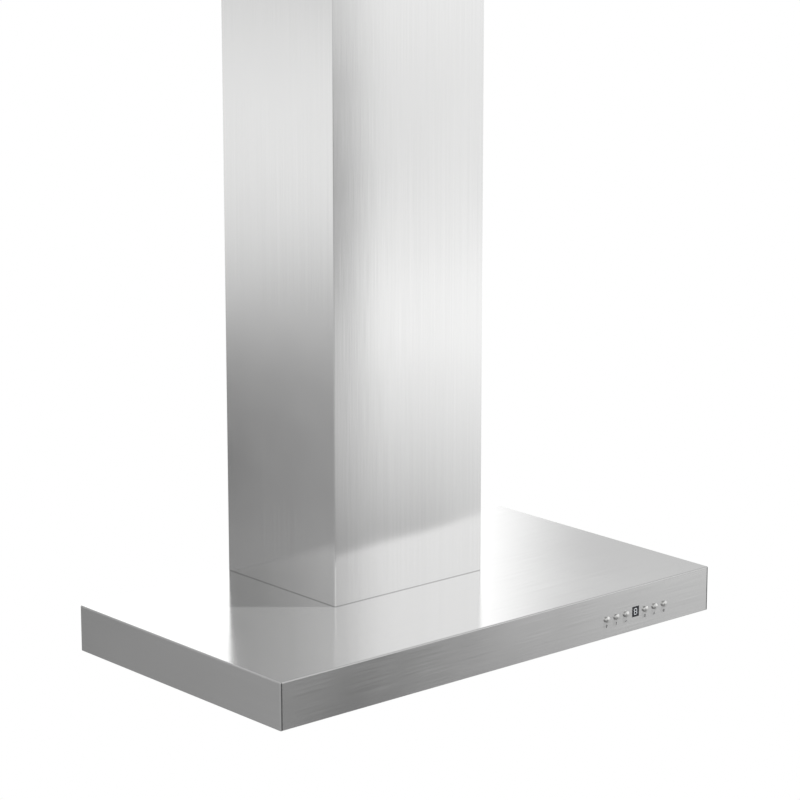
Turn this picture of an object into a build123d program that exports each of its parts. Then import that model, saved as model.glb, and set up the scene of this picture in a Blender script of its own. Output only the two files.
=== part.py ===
from build123d import *

import os
from math import radians, tan

# Island range hood: a flat box canopy hung from the ceiling on a telescoping frame inside a square chimney.
# Millimetres, +Z up. The origin is on the ceiling, at the centre of the chimney, and the front, with its
# push buttons, faces -Y.

# ------------------------------------------------------------------ driving sizes
drop_height = 1330  # ceiling to the underside of the canopy
canopy_width = 900
canopy_depth = 500
canopy_height = 74
canopy_sheet = 1.2
canopy_bend = 2.0  # outer radius of the folded edges
canopy_lip = 22  # bottom return flange
seam_width = 0.6  # open hairline at each welded corner
seam_depth = 0.7

chimney_width = 310
chimney_depth = 270
cover_sheet = 1.0
cover_bend = 2.0
cover_flange = 12  # inward return that carries the back panel
cover_gap = 1.0  # sliding gap between the two chimney sections
lower_cover_height = 980
cover_overlap = 174  # of the two chimney sections at rest

frame_clearance = 10  # chimney's outside to the frame's
angle_size = 25
angle_sheet = 2.0
frame_gap = 0.3  # between the nested angles
lower_leg_length = 773
leg_overlap = 200
strap_height = 25
end_strap = 216  # canopy top to the lowest strap
raise_travel = 200
lower_travel = 120
clamp_spacing = 30
clamp_edge = 25  # first clamp bolt below the lower leg's top

ceiling_plate_thickness = 3
ceiling_plate_clearance = 7  # chimney's outside to the plate's front and back
ceiling_flange_height = 28
ceiling_opening_width = 190
ceiling_opening_depth = 170
mount_hole_radius = 4.0
mount_hole_inset = 17.7  # from the upper frame's outside
foot_width = 42
foot_bolt_spacing_y = 120

bolt_radius = 3.0
bolt_hole_radius = 3.2
bolt_head_radius = 5.5
bolt_head_height = 3.3
nut_width = 10.0  # across the flats
nut_height = 4.6
screw_radius = 2.0
screw_head_radius = 3.8
screw_head_height = 1.6

bracket_thickness = 3
bracket_upstand = 32
bracket_land_side = 22  # of the bracket's ring, beside the blower box
bracket_land_front = 14
box_gap = 1.0
box_height = 230
box_sheet = 1.0
box_flange = 6

wheel_radius = 58
wheel_width = 108
blade_count = 36
blade_depth = 8
blade_sheet = 1.0
hub_radius = 10
shaft_radius = 4.0
wheel_end_gap = 2.0
scroll_sheet = 1.0
scroll_gap = 8  # wheel to the first quarter of the spiral
scroll_growth = 6  # added at each quarter
tongue_radius = 8
scroll_floor_gap = 22  # canopy top to the spiral's lowest point
inlet_gap = 2.4  # inside the blades
motor_air_gap = 8.6  # motor to the inlet's edge
motor_length = 72

collar_radius = 75
collar_sheet = 1.2
collar_height = 50
collar_flange = 7
collar_flange_sheet = 1.5
damper_pin_radius = 2.0
damper_knuckle_radius = 4.0
damper_sheet = 1.2
damper_edge_gap = 1.2

liner_sheet = 1.0
liner_recess = 8.2
liner_gap = 0.5
well_height = 16
filter_width = 340
filter_depth = 318
filter_thickness = 12
filter_sheet = 1.0
filter_border = 14
filter_gap = 2.0
filter_ledge = 6
mullion_width = 20
baffle_width = 20
baffle_pitch = 30
baffle_wall = 4.4
baffle_sheet = 0.8
handle_width = 80
handle_drop = 22
handle_wire_radius = 2.0
lug_thickness = 3
lug_size = 8

lamp_inset_side = 60
lamp_inset_front = 75
lamp_bezel_radius = 31
lamp_bezel_height = 2.2
lamp_body_radius = 26.5
lamp_body_height = 18
lamp_lens_radius = 24
lamp_lens_thickness = 2.0

panel_inset = 169  # canopy's right end to the middle of the control row
panel_height = 31.6  # above the underside
button_pitch = 21.75
button_radius = 5.0
button_reach = 3.6  # out of the front face
button_travel = 0.8
button_clearance = 0.2
button_flange_radius = 6.5
button_flange = 1.4
stem_radius = 3.0
stem_reach = 10.2
window_width = 15.4
window_height = 17.0
housing_width = 156
housing_height = 28
housing_depth = 9
board_gap = 15  # inner face of the front sheet to the board
board_thickness = 1.6

# ------------------------------------------------------------------ levels and planes
underside = -drop_height
canopy_top = underside + canopy_height
frame_width = chimney_width - 2 * frame_clearance
frame_depth = chimney_depth - 2 * frame_clearance
lower_leg_top = -(canopy_top + bracket_thickness + lower_leg_length)
upper_leg_bottom = lower_leg_top + leg_overlap
box_width = frame_width - 2 * (bracket_land_side + box_flange + box_gap)
box_depth = frame_depth - 2 * (bracket_land_front + box_flange + box_gap)
panel_x = canopy_width / 2 - panel_inset
lamp_x = canopy_width / 2 - lamp_inset_side
lamp_y = canopy_depth / 2 - lamp_inset_front
back_y = chimney_depth / 2
front_y = back_y - canopy_depth
middle_y = (back_y + front_y) / 2
inner_front_y = front_y + canopy_sheet
lower_cover_top = canopy_top + lower_cover_height
box_top = canopy_top + box_height
liner_bottom = underside + liner_recess
liner_top = liner_bottom + liner_sheet

CENTRED_UP = (Align.CENTER, Align.CENTER, Align.MIN)
SIDES = {"left": -1, "right": 1}


# ------------------------------------------------------------------ small helpers
def block(a, b, mode=Mode.ADD):
    """A rectangular block between two opposite corners, in the part that is being built."""
    low = [min(p, q) for p, q in zip(a, b)]
    size = [abs(p - q) for p, q in zip(a, b)]
    with Locations(tuple(low)):
        return Box(*size, align=(Align.MIN, Align.MIN, Align.MIN), mode=mode)


def along(axis, at):
    """The plane through a point with its normal along 'x', 'y' or 'z' (or '-x' and so on)."""
    sign = -1 if axis.startswith("-") else 1
    normal = {"x": (sign, 0, 0), "y": (0, sign, 0), "z": (0, 0, sign)}[axis[-1]]
    x_dir = (0, 1, 0) if axis[-1] == "x" else (1, 0, 0)
    return Plane(origin=at, x_dir=x_dir, z_dir=normal)


def disc(plane, radius, height, mode=Mode.ADD):
    """A cylinder standing on a plane, along its normal."""
    with BuildSketch(plane) as profile:
        Circle(radius)
    return extrude(profile.sketch, amount=height, mode=mode)


def hex_nut(plane, bore):
    """A plain hexagon nut standing on a plane."""
    with BuildSketch(plane) as profile:
        RegularPolygon(nut_width / 2, 6, major_radius=False)
        Circle(bore, mode=Mode.SUBTRACT)
    extrude(profile.sketch, amount=nut_height)


def save(piece, name):
    """Label a finished piece and write it as its own STEP file."""
    piece.part.label = name
    export_step(piece.part, f"parts/{name}.step")


os.makedirs("parts", exist_ok=True)

# ------------------------------------------------------------------ ceiling plate
upper_width = chimney_width - 2 * (cover_sheet + cover_gap)
upper_front_y = -chimney_depth / 2 + cover_sheet + cover_gap
upper_back_y = back_y - 2 * cover_sheet - cover_gap
ceiling_plate_width = upper_width - 2 * cover_sheet - 1.0
ceiling_plate_depth = chimney_depth - 2 * ceiling_plate_clearance
cover_screw_z = -ceiling_flange_height / 2
cover_screw_y = 70
upper_angle_width = frame_width - 2 * (angle_sheet + frame_gap)
upper_angle_depth = frame_depth - 2 * (angle_sheet + frame_gap)
mount_spacing_x = upper_angle_width - 2 * mount_hole_inset
mount_spacing_y = upper_angle_depth - 2 * mount_hole_inset

with BuildPart() as ceiling_plate:
    with BuildSketch(Plane.XY.offset(-ceiling_plate_thickness)):
        Rectangle(ceiling_plate_width, ceiling_plate_depth)
        Rectangle(ceiling_opening_width, ceiling_opening_depth, mode=Mode.SUBTRACT)
        with GridLocations(mount_spacing_x, mount_spacing_y, 2, 2):
            Circle(mount_hole_radius, mode=Mode.SUBTRACT)
        with GridLocations(mount_spacing_x, foot_bolt_spacing_y, 2, 2):
            Circle(bolt_hole_radius, mode=Mode.SUBTRACT)
    extrude(amount=ceiling_plate_thickness)
    for side in SIDES.values():
        outer = side * ceiling_plate_width / 2
        half = ceiling_plate_depth / 2
        block((outer, -half, 0), (outer - side * ceiling_plate_thickness, half, -ceiling_flange_height))
        for y in (-cover_screw_y, cover_screw_y):
            disc(along("x", (outer - 4, y, cover_screw_z)), screw_radius, 8, Mode.SUBTRACT)
    fillet(ceiling_plate.edges().filter_by(Axis.Y).group_by(Axis.Z)[-1].sort_by(Axis.X)[0], 1.5)
    fillet(ceiling_plate.edges().filter_by(Axis.Y).group_by(Axis.Z)[-1].sort_by(Axis.X)[-1], 1.5)
save(ceiling_plate, "ceiling_plate")

# ------------------------------------------------------------------ telescoping frame
clamp_levels = [-lower_leg_top - clamp_edge - i * clamp_spacing for i in range(2)]
clamp_x = frame_width / 2 - angle_size / 2
slot_low = min(clamp_levels) - lower_travel - bolt_hole_radius
slot_high = max(clamp_levels) + raise_travel + bolt_hole_radius
foot_bottom = -ceiling_plate_thickness - angle_sheet
upper_straps = [-60, -upper_leg_bottom + 2 * strap_height]
upper_straps.insert(1, sum(upper_straps) / 2)
lower_straps = [-lower_leg_top - 4 * strap_height, canopy_top + end_strap]
lower_straps.insert(1, sum(lower_straps) / 2)
upstand_bolt_y = frame_depth / 2 - angle_size / 2
upstand_bolt_z = canopy_top + bracket_thickness + 17


def angle_leg(side, end, width, depth, low, high):
    """One upright angle, its outer corner at the frame's corner."""
    x, y = side * width / 2, end * depth / 2
    block((x, y, low), (x - side * angle_size, y - end * angle_sheet, high))
    block((x, y, low), (x - side * angle_sheet, y - end * angle_size, high))


for name, side in SIDES.items():
    with BuildPart() as upper_frame:
        for end in (-1, 1):
            angle_leg(side, end, upper_angle_width, upper_angle_depth, -upper_leg_bottom, foot_bottom)
            face_y = end * upper_angle_depth / 2
            slot_middle = (side * clamp_x, face_y - end * angle_sheet / 2, (slot_low + slot_high) / 2)
            slot_plane = along("y", slot_middle)
            with BuildSketch(slot_plane):
                SlotOverall(slot_high - slot_low, 2 * bolt_hole_radius + 0.2, rotation=90)
            extrude(amount=angle_sheet, both=True, mode=Mode.SUBTRACT)
        inner = side * (upper_angle_width / 2 - angle_sheet)
        for z in upper_straps:
            block(
                (inner, -upper_angle_depth / 2 + angle_sheet, z - strap_height / 2),
                (inner - side * angle_sheet, upper_angle_depth / 2 - angle_sheet, z + strap_height / 2),
            )
        block(
            (side * upper_angle_width / 2, -upper_angle_depth / 2, foot_bottom),
            (side * (upper_angle_width / 2 - foot_width), upper_angle_depth / 2, -ceiling_plate_thickness),
        )
        foot_holes = ((mount_spacing_y, mount_hole_radius), (foot_bolt_spacing_y, bolt_hole_radius))
        for spacing, radius in foot_holes:
            for end in (-1, 1):
                hole = (side * mount_spacing_x / 2, end * spacing / 2, foot_bottom)
                disc(along("z", hole), radius, angle_sheet, Mode.SUBTRACT)
    save(upper_frame, f"upper_frame_{name}")

    with BuildPart() as lower_frame:
        for end in (-1, 1):
            angle_leg(side, end, frame_width, frame_depth, canopy_top + bracket_thickness, -lower_leg_top)
            for z in clamp_levels:
                start = (side * clamp_x, end * (frame_depth / 2 - angle_sheet), z)
                disc(along("y" if end > 0 else "-y", start), bolt_hole_radius, angle_sheet, Mode.SUBTRACT)
            start = (side * (frame_width / 2 - angle_sheet), end * upstand_bolt_y, upstand_bolt_z)
            disc(along("x" if side > 0 else "-x", start), bolt_hole_radius, angle_sheet, Mode.SUBTRACT)
        for z in lower_straps:
            block(
                (side * frame_width / 2, -frame_depth / 2, z - strap_height / 2),
                (side * (frame_width / 2 + angle_sheet), frame_depth / 2, z + strap_height / 2),
            )
    save(lower_frame, f"lower_frame_{name}")

with BuildPart() as frame_bolts:
    for side in (-1, 1):
        for end in (-1, 1):
            out = "y" if end > 0 else "-y"
            inward = "-y" if end > 0 else "y"
            for z in clamp_levels:
                face = end * frame_depth / 2
                nut_face = end * (upper_angle_depth / 2 - angle_sheet - 0.2)
                disc(along(out, (side * clamp_x, face, z)), bolt_head_radius, bolt_head_height)
                grip = abs(face - nut_face) + nut_height + 1
                disc(along(inward, (side * clamp_x, face, z)), bolt_radius, grip)
                hex_nut(along(inward, (side * clamp_x, nut_face, z)), bolt_radius)
            out = "x" if side > 0 else "-x"
            inward = "-x" if side > 0 else "x"
            face = side * frame_width / 2
            nut_face = side * (frame_width / 2 - 2 * angle_sheet)
            at_y = end * upstand_bolt_y
            disc(along(out, (face, at_y, upstand_bolt_z)), bolt_head_radius, bolt_head_height)
            disc(along(inward, (face, at_y, upstand_bolt_z)), bolt_radius, 2 * angle_sheet + nut_height + 1)
            hex_nut(along(inward, (nut_face, at_y, upstand_bolt_z)), bolt_radius)
save(frame_bolts, "frame_bolts")


# ------------------------------------------------------------------ chimney covers
def cover_front(width, front, back, bottom, top):
    """The front and two sides of a chimney section, folded from one sheet, with returns at the back."""
    with BuildPart() as cover:
        with BuildSketch(Plane.XY.offset(bottom)) as outline:
            with Locations((0, (front + back - cover_sheet) / 2)):
                Rectangle(width, back - cover_sheet - front)
            fillet(outline.vertices().group_by(Axis.Y)[0], cover_bend)
            with Locations((0, (front + back) / 2 - cover_sheet / 2)):
                Rectangle(width - 2 * cover_sheet, back - front - 3 * cover_sheet, mode=Mode.SUBTRACT)
            with Locations((0, back - 1.5 * cover_sheet)):
                Rectangle(width - 2 * cover_flange, 3 * cover_sheet, mode=Mode.SUBTRACT)
        extrude(amount=top - bottom)
    return cover


def cover_back(width, back, bottom, top):
    """The flat back panel of a chimney section."""
    with BuildPart() as cover:
        block((-width / 2, back - cover_sheet, bottom), (width / 2, back, top))
        fillet(cover.edges().filter_by(Axis.Z).group_by(Axis.Y)[-1], 0.6)
    return cover


upper_cover_bottom = lower_cover_top - cover_overlap
flange_screw_x = chimney_width / 2 - cover_flange / 2 - cover_sheet
upper_flange_screw_x = upper_width / 2 - cover_flange / 2
upper_screw_levels = (-20, -55)
lower_screw_levels = [canopy_top + 30 + i * (lower_cover_height - 60) / 4 for i in range(5)]


def drill_back(part, x, back, levels):
    """Screw holes through a cover's back face, one column each side."""
    for side in (-1, 1):
        for z in levels:
            start = (side * x, back - 2 * cover_sheet, z)
            disc(along("y", start), screw_radius, 2 * cover_sheet, Mode.SUBTRACT)


with cover_front(upper_width, upper_front_y, upper_back_y, upper_cover_bottom, 0) as upper_cover_front:
    for side in (-1, 1):
        for y in (-cover_screw_y, cover_screw_y):
            start = (side * (upper_width / 2 - cover_sheet), y, cover_screw_z)
            disc(along("x" if side > 0 else "-x", start), screw_radius, cover_sheet, Mode.SUBTRACT)
    drill_back(upper_cover_front, upper_flange_screw_x, upper_back_y, upper_screw_levels)
save(upper_cover_front, "upper_cover_front")

with cover_back(upper_width, upper_back_y, upper_cover_bottom, 0) as upper_cover_back:
    drill_back(upper_cover_back, upper_flange_screw_x, upper_back_y, upper_screw_levels)
save(upper_cover_back, "upper_cover_back")

with cover_front(
    chimney_width, -chimney_depth / 2, back_y, canopy_top, lower_cover_top
) as lower_cover_front:
    drill_back(lower_cover_front, flange_screw_x, back_y, lower_screw_levels)
save(lower_cover_front, "lower_cover_front")

with cover_back(chimney_width, back_y, canopy_top, lower_cover_top) as lower_cover_back:
    drill_back(lower_cover_back, flange_screw_x, back_y, lower_screw_levels)
save(lower_cover_back, "lower_cover_back")


def pan_screw(plane, length):
    """A pan-head screw: its head stands on the plane, and its shank goes the other way."""
    disc(plane, screw_head_radius, screw_head_height)
    disc(plane, screw_radius, -length)


with BuildPart() as upper_fasteners:
    for side in (-1, 1):
        for y in (-cover_screw_y, cover_screw_y):
            plane = along("x" if side > 0 else "-x", (side * upper_width / 2, y, cover_screw_z))
            pan_screw(plane, cover_sheet + 0.5 + ceiling_plate_thickness + 1)
        for z in upper_screw_levels:
            pan_screw(along("y", (side * upper_flange_screw_x, upper_back_y, z)), 2 * cover_sheet)
        for end in (-1, 1):
            at = (side * mount_spacing_x / 2, end * foot_bolt_spacing_y / 2)
            disc(along("z", (*at, -ceiling_plate_thickness - angle_sheet - nut_height - 1)), bolt_radius,
                 ceiling_plate_thickness + angle_sheet + nut_height)
            hex_nut(along("-z", (*at, foot_bottom)), bolt_radius)
save(upper_fasteners, "upper_fasteners")

with BuildPart() as lower_cover_screws:
    for side in (-1, 1):
        for z in lower_screw_levels:
            pan_screw(along("y", (side * flange_screw_x, back_y, z)), 2 * cover_sheet)
save(lower_cover_screws, "lower_cover_screws")

# ------------------------------------------------------------------ canopy shell
button_places = [panel_x + i * button_pitch for i in (-3, -2, -1, 1, 2, 3)]
panel_z = underside + panel_height
opening_width = box_width - 2 * box_sheet
opening_depth = box_depth - 2 * box_sheet
bracket_bolt_x = frame_width / 2 - 11
bracket_bolt_y = 60
tab_size = 20
tab_reach = 13  # how far a tab covers the liner's edge
liner_half_width = canopy_width / 2 - canopy_lip - liner_gap
liner_half_depth = canopy_depth / 2 - canopy_lip - liner_gap
tab_places = [(x, end, "y") for x in (-300, 0, 300) for end in (-1, 1)]
tab_places += [(y, side, "x") for y in (-60, 60) for side in (-1, 1)]


def tab_point(place, side, wall, inset):
    """A point on a liner tab's centre line, inset from the liner's edge."""
    if wall == "y":
        return place, middle_y + side * (liner_half_depth - inset)
    return side * (liner_half_width - inset), middle_y + place


with BuildPart() as canopy_shell:
    with Locations((0, middle_y, underside)):
        Box(canopy_width, canopy_depth, canopy_height, align=CENTRED_UP)
    fillet(canopy_shell.edges().filter_by(Axis.Z), canopy_bend)
    fillet(canopy_shell.faces().sort_by(Axis.Z)[-1].edges(), canopy_bend)
    fillet(canopy_shell.faces().sort_by(Axis.Z)[0].edges(), canopy_bend / 2)
    with Locations((0, middle_y, underside + canopy_sheet)):
        Box(
            canopy_width - 2 * canopy_sheet,
            canopy_depth - 2 * canopy_sheet,
            canopy_height - 2 * canopy_sheet,
            align=CENTRED_UP,
            mode=Mode.SUBTRACT,
        )
    with Locations((0, middle_y, underside)):
        Box(
            canopy_width - 2 * canopy_lip,
            canopy_depth - 2 * canopy_lip,
            canopy_sheet,
            align=CENTRED_UP,
            mode=Mode.SUBTRACT,
        )
    with Locations((0, 0, canopy_top - canopy_sheet)):
        Box(opening_width, opening_depth, canopy_sheet, align=CENTRED_UP, mode=Mode.SUBTRACT)
        with GridLocations(2 * bracket_bolt_x, 2 * bracket_bolt_y, 2, 2):
            Cylinder(bolt_hole_radius, canopy_sheet, align=CENTRED_UP, mode=Mode.SUBTRACT)
    for x in button_places:
        hole_radius = button_radius + button_clearance
        disc(along("y", (x, front_y, panel_z)), hole_radius, canopy_sheet, Mode.SUBTRACT)
    with Locations((panel_x, front_y + canopy_sheet / 2, panel_z)):
        Box(window_width + 0.2, canopy_sheet, window_height + 0.2, mode=Mode.SUBTRACT)
    for side in (-1, 1):
        seam_x = side * (canopy_width / 2 - canopy_bend - seam_width)
        for face, inward in ((front_y, 1), (back_y, -1)):
            block(
                (seam_x - seam_width / 2, face, underside + canopy_bend),
                (seam_x + seam_width / 2, face + inward * seam_depth, canopy_top - canopy_bend),
                Mode.SUBTRACT,
            )
    for place, side, wall in tab_places:
        x, y = tab_point(place, side, wall, tab_reach)
        if wall == "y":
            low = (x - tab_size / 2, y, liner_top)
            high = (x + tab_size / 2, middle_y + side * (canopy_depth / 2 - canopy_sheet), liner_top + 1.5)
        else:
            low = (x, y - tab_size / 2, liner_top)
            high = (side * (canopy_width / 2 - canopy_sheet), y + tab_size / 2, liner_top + 1.5)
        block(low, high)
        x, y = tab_point(place, side, wall, tab_reach / 2)
        disc(along("z", (x, y, liner_top)), screw_radius, 1.5, Mode.SUBTRACT)
save(canopy_shell, "canopy_shell")

# ------------------------------------------------------------------ base bracket under the frame
with BuildPart() as base_bracket:
    with BuildSketch(Plane.XY.offset(canopy_top)):
        Rectangle(frame_width, frame_depth)
        window = 2 * (box_flange + box_gap)
        Rectangle(box_width + window, box_depth + window, mode=Mode.SUBTRACT)
        with GridLocations(2 * bracket_bolt_x, 2 * bracket_bolt_y, 2, 2):
            Circle(bolt_hole_radius, mode=Mode.SUBTRACT)
    extrude(amount=bracket_thickness)
    for side in (-1, 1):
        face = side * (frame_width / 2 - angle_sheet)
        low = canopy_top + bracket_thickness
        block(
            (face, -frame_depth / 2 + angle_sheet, low),
            (face - side * angle_sheet, frame_depth / 2 - angle_sheet, low + bracket_upstand),
        )
        for end in (-1, 1):
            start = (face, end * upstand_bolt_y, upstand_bolt_z)
            disc(along("-x" if side > 0 else "x", start), bolt_hole_radius, angle_sheet, Mode.SUBTRACT)
save(base_bracket, "base_bracket")

# ------------------------------------------------------------------ blower box and duct collar
with BuildPart() as blower_box:
    with Locations((0, 0, canopy_top)):
        Box(box_width, box_depth, box_height, align=CENTRED_UP)
        Box(box_width + 2 * box_flange, box_depth + 2 * box_flange, box_sheet, align=CENTRED_UP)
        Box(
            box_width - 2 * box_sheet,
            box_depth - 2 * box_sheet,
            box_height - box_sheet,
            align=CENTRED_UP,
            mode=Mode.SUBTRACT,
        )
    disc(along("z", (0, 0, box_top - box_sheet)), collar_radius - collar_sheet, box_sheet, Mode.SUBTRACT)
    fillet(blower_box.edges().filter_by(Axis.Z).group_by(SortBy.LENGTH)[-1], 0.8)
save(blower_box, "blower_box")

pin_z = box_top + collar_flange_sheet + collar_height / 2
ledge_width = 4.0
with BuildPart() as duct_collar:
    collar_plane = Plane.XY.offset(box_top)
    disc(collar_plane, collar_radius + collar_flange, collar_flange_sheet)
    disc(collar_plane, collar_radius, collar_flange_sheet + collar_height)
    disc(collar_plane, collar_radius - collar_sheet, collar_flange_sheet + collar_height, Mode.SUBTRACT)
    with BuildSketch(Plane.XY.offset(pin_z - damper_sheet / 2 - 0.3 - collar_sheet)):
        Circle(collar_radius - collar_sheet / 2)
        Circle(collar_radius - collar_sheet - ledge_width, mode=Mode.SUBTRACT)
    extrude(amount=collar_sheet)
    for end in (-1, 1):
        start = (0, end * (collar_radius - 3 * collar_sheet), pin_z)
        disc(along("y" if end > 0 else "-y", start), damper_pin_radius, 4 * collar_sheet, Mode.SUBTRACT)
        relief = damper_knuckle_radius + 1
        ledge_edge = collar_radius - collar_sheet
        low = (-relief, end * (ledge_edge - ledge_width - 1), pin_z - relief)
        block(low, (relief, end * ledge_edge, pin_z), Mode.SUBTRACT)
save(duct_collar, "duct_collar")

with BuildPart() as damper_pin:
    half = collar_radius - 0.2
    disc(along("y", (0, -half, pin_z)), damper_pin_radius - 0.02, 2 * half)
save(damper_pin, "damper_pin")

knuckle_length = (collar_radius - 9) / 3
knuckle_gap = 0.4
flap_radius = collar_radius - collar_sheet - damper_edge_gap
flap_inner = damper_knuckle_radius + 0.6
knuckle_steps = {"left": (-3, -1, 1), "right": (-2, 0, 2)}
for name, side in SIDES.items():
    with BuildPart() as flap:
        with BuildSketch(Plane.XY.offset(pin_z - damper_sheet / 2)):
            Circle(flap_radius)
            with Locations((-side * (flap_radius - flap_inner), 0)):
                Rectangle(2 * flap_radius, 2 * flap_radius + 2, mode=Mode.SUBTRACT)
        extrude(amount=damper_sheet)
        for step in knuckle_steps[name]:
            low = step * knuckle_length + knuckle_gap / 2
            high = low + knuckle_length - knuckle_gap
            disc(along("y", (0, low, pin_z)), damper_knuckle_radius, high - low)
            half = damper_sheet / 2
            block((0, low, pin_z - half), (side * (flap_inner + 2), high, pin_z + half))
        disc(along("y", (0, -flap_radius, pin_z)), damper_pin_radius + 0.06, 2 * flap_radius, Mode.SUBTRACT)
    save(flap, f"damper_flap_{name}")

# ------------------------------------------------------------------ blower: scroll, inlets, wheel and motor
inlet_radius = wheel_radius - blade_depth - inlet_gap
motor_radius = inlet_radius - motor_air_gap
scroll_width = wheel_width + 2 * wheel_end_gap
spiral = [wheel_radius + scroll_gap + i * scroll_growth for i in range(3)]
outlet_width = scroll_growth + spiral[2] - tongue_radius
spiral_x = -(tongue_radius + scroll_growth + spiral[2]) / 2
spiral_z = canopy_top + scroll_floor_gap + spiral[1]
wheel_x = spiral_x + scroll_growth / 2
wheel_z = spiral_z + scroll_growth / 2
scroll_top = box_top - box_sheet


def scroll_outline(top):
    """The scroll's inside: outlet wall, rounded tongue, three growing quarter turns, outlet wall."""
    with BuildLine() as line:
        wall_x = spiral_x + tongue_radius
        wall = Line((wall_x, top), (wall_x, spiral_z + spiral[0] + tongue_radius))
        tongue = JernArc(start=wall @ 1, tangent=(0, -1), radius=tongue_radius, arc_size=-90)
        first = JernArc(start=tongue @ 1, tangent=(-1, 0), radius=spiral[0], arc_size=90)
        second = JernArc(start=first @ 1, tangent=(0, -1), radius=spiral[1], arc_size=90)
        third = JernArc(start=second @ 1, tangent=(1, 0), radius=spiral[2], arc_size=90)
        Line(third @ 1, ((third @ 1).X, top))
        Line(((third @ 1).X, top), wall @ 0)
    return line


def scroll_face(y, grow):
    """The scroll's outline as a sketch on the plane at that y, grown by a sheet if asked."""
    with BuildSketch(Plane.XZ.offset(-y)) as sketch:
        add(scroll_outline(scroll_top + 4).line)
        make_face()
        if grow:
            offset(amount=grow, kind=Kind.INTERSECTION)
    return sketch


above_scroll = ((-200, -200, scroll_top), (200, 200, scroll_top + 40))
half_scroll = scroll_width / 2
with BuildPart() as blower_scroll:
    extrude(scroll_face(0, scroll_sheet).sketch, amount=half_scroll, both=True)
    extrude(scroll_face(0, 0).sketch, amount=half_scroll, both=True, mode=Mode.SUBTRACT)
    block(*above_scroll, Mode.SUBTRACT)
save(blower_scroll, "blower_scroll")

inlet_lip = 5
bracket_screw_radius = inlet_radius + 6.4
bracket_arm_angles = (90, 210, 330)
for name, end in (("front", -1), ("back", 1)):
    with BuildPart() as inlet_ring:
        side_plate = scroll_face(end * (half_scroll + scroll_sheet / 2), scroll_sheet)
        extrude(side_plate.sketch, amount=scroll_sheet / 2, both=True)
        block(*above_scroll, Mode.SUBTRACT)
        face = (wheel_x, end * (half_scroll + scroll_sheet), wheel_z)
        inward = "-y" if end > 0 else "y"
        disc(along(inward, face), inlet_radius + 1, scroll_sheet + inlet_lip)
        disc(along(inward, face), inlet_radius, scroll_sheet + inlet_lip, Mode.SUBTRACT)
        mouth = inlet_ring.edges().filter_by(GeomType.CIRCLE).sort_by(Axis.Y, reverse=end > 0)[0]
        fillet(mouth, 0.9)
    save(inlet_ring, f"inlet_ring_{name}")

with BuildSketch() as blade:
    with BuildLine():
        ThreePointArc((wheel_radius - blade_depth, 0), (wheel_radius - 3.2, 1.2), (wheel_radius - 0.6, 5.0))
    trace(line_width=blade_sheet)

with BuildPart() as impeller:
    wheel_plane = Plane(origin=(wheel_x, 0, wheel_z), x_dir=(1, 0, 0), z_dir=(0, -1, 0))
    with BuildSketch(wheel_plane):
        with PolarLocations(0, blade_count):
            add(blade.sketch)
    extrude(amount=wheel_width / 2 - 0.2, both=True)
    for y in (-wheel_width / 2, wheel_width / 2 - 1.5):
        with BuildSketch(along("y", (wheel_x, y, wheel_z))):
            Circle(wheel_radius)
            Circle(wheel_radius - blade_depth, mode=Mode.SUBTRACT)
        extrude(amount=1.5)
    disc(along("y", (wheel_x, -1, wheel_z)), wheel_radius, 2)
    disc(along("y", (wheel_x, -10, wheel_z)), hub_radius, 20)
    with BuildSketch(along("y", (wheel_x, -1, wheel_z))):
        with PolarLocations(30, 6):
            Circle(7)
    extrude(amount=2, mode=Mode.SUBTRACT)
    disc(along("y", (wheel_x, -10, wheel_z)), shaft_radius, 20, Mode.SUBTRACT)
save(impeller, "impeller")

motor_start = 14
shaft_start = -12
with BuildPart() as motor_shaft:
    shaft_length = motor_start + motor_length + 4 - shaft_start
    disc(along("y", (wheel_x, shaft_start, wheel_z)), shaft_radius, shaft_length)
    chamfer(motor_shaft.edges().filter_by(GeomType.CIRCLE), 0.6)
save(motor_shaft, "motor_shaft")

motor_boss = 14
motor_round = 5
with BuildPart() as motor:
    disc(along("y", (wheel_x, motor_start, wheel_z)), motor_radius, motor_length)
    fillet(motor.edges().filter_by(GeomType.CIRCLE), motor_round)
    disc(along("y", (wheel_x, motor_start - 2, wheel_z)), motor_boss, motor_length + 4)
    with BuildSketch(along("y", (wheel_x, motor_start + motor_length - 3, wheel_z))):
        with PolarLocations((motor_boss + motor_radius - motor_round) / 2, 8):
            SlotOverall(motor_radius - motor_round - motor_boss - 6, 4)
    extrude(amount=3, mode=Mode.SUBTRACT)
    disc(along("y", (wheel_x, 0, wheel_z)), shaft_radius + 0.06, motor_length + 40, Mode.SUBTRACT)
save(motor, "motor")

bracket_y = half_scroll + scroll_sheet
with BuildPart() as motor_bracket:
    with BuildSketch(along("y", (wheel_x, bracket_y, wheel_z))):
        Circle(motor_radius + 3)
        with Locations(*[Location((0, 0), angle) for angle in bracket_arm_angles]):
            with Locations((bracket_screw_radius / 2 + 4, 0)):
                Rectangle(bracket_screw_radius, 12)
        Circle(motor_radius, mode=Mode.SUBTRACT)
    extrude(amount=3)
save(motor_bracket, "motor_bracket")

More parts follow.
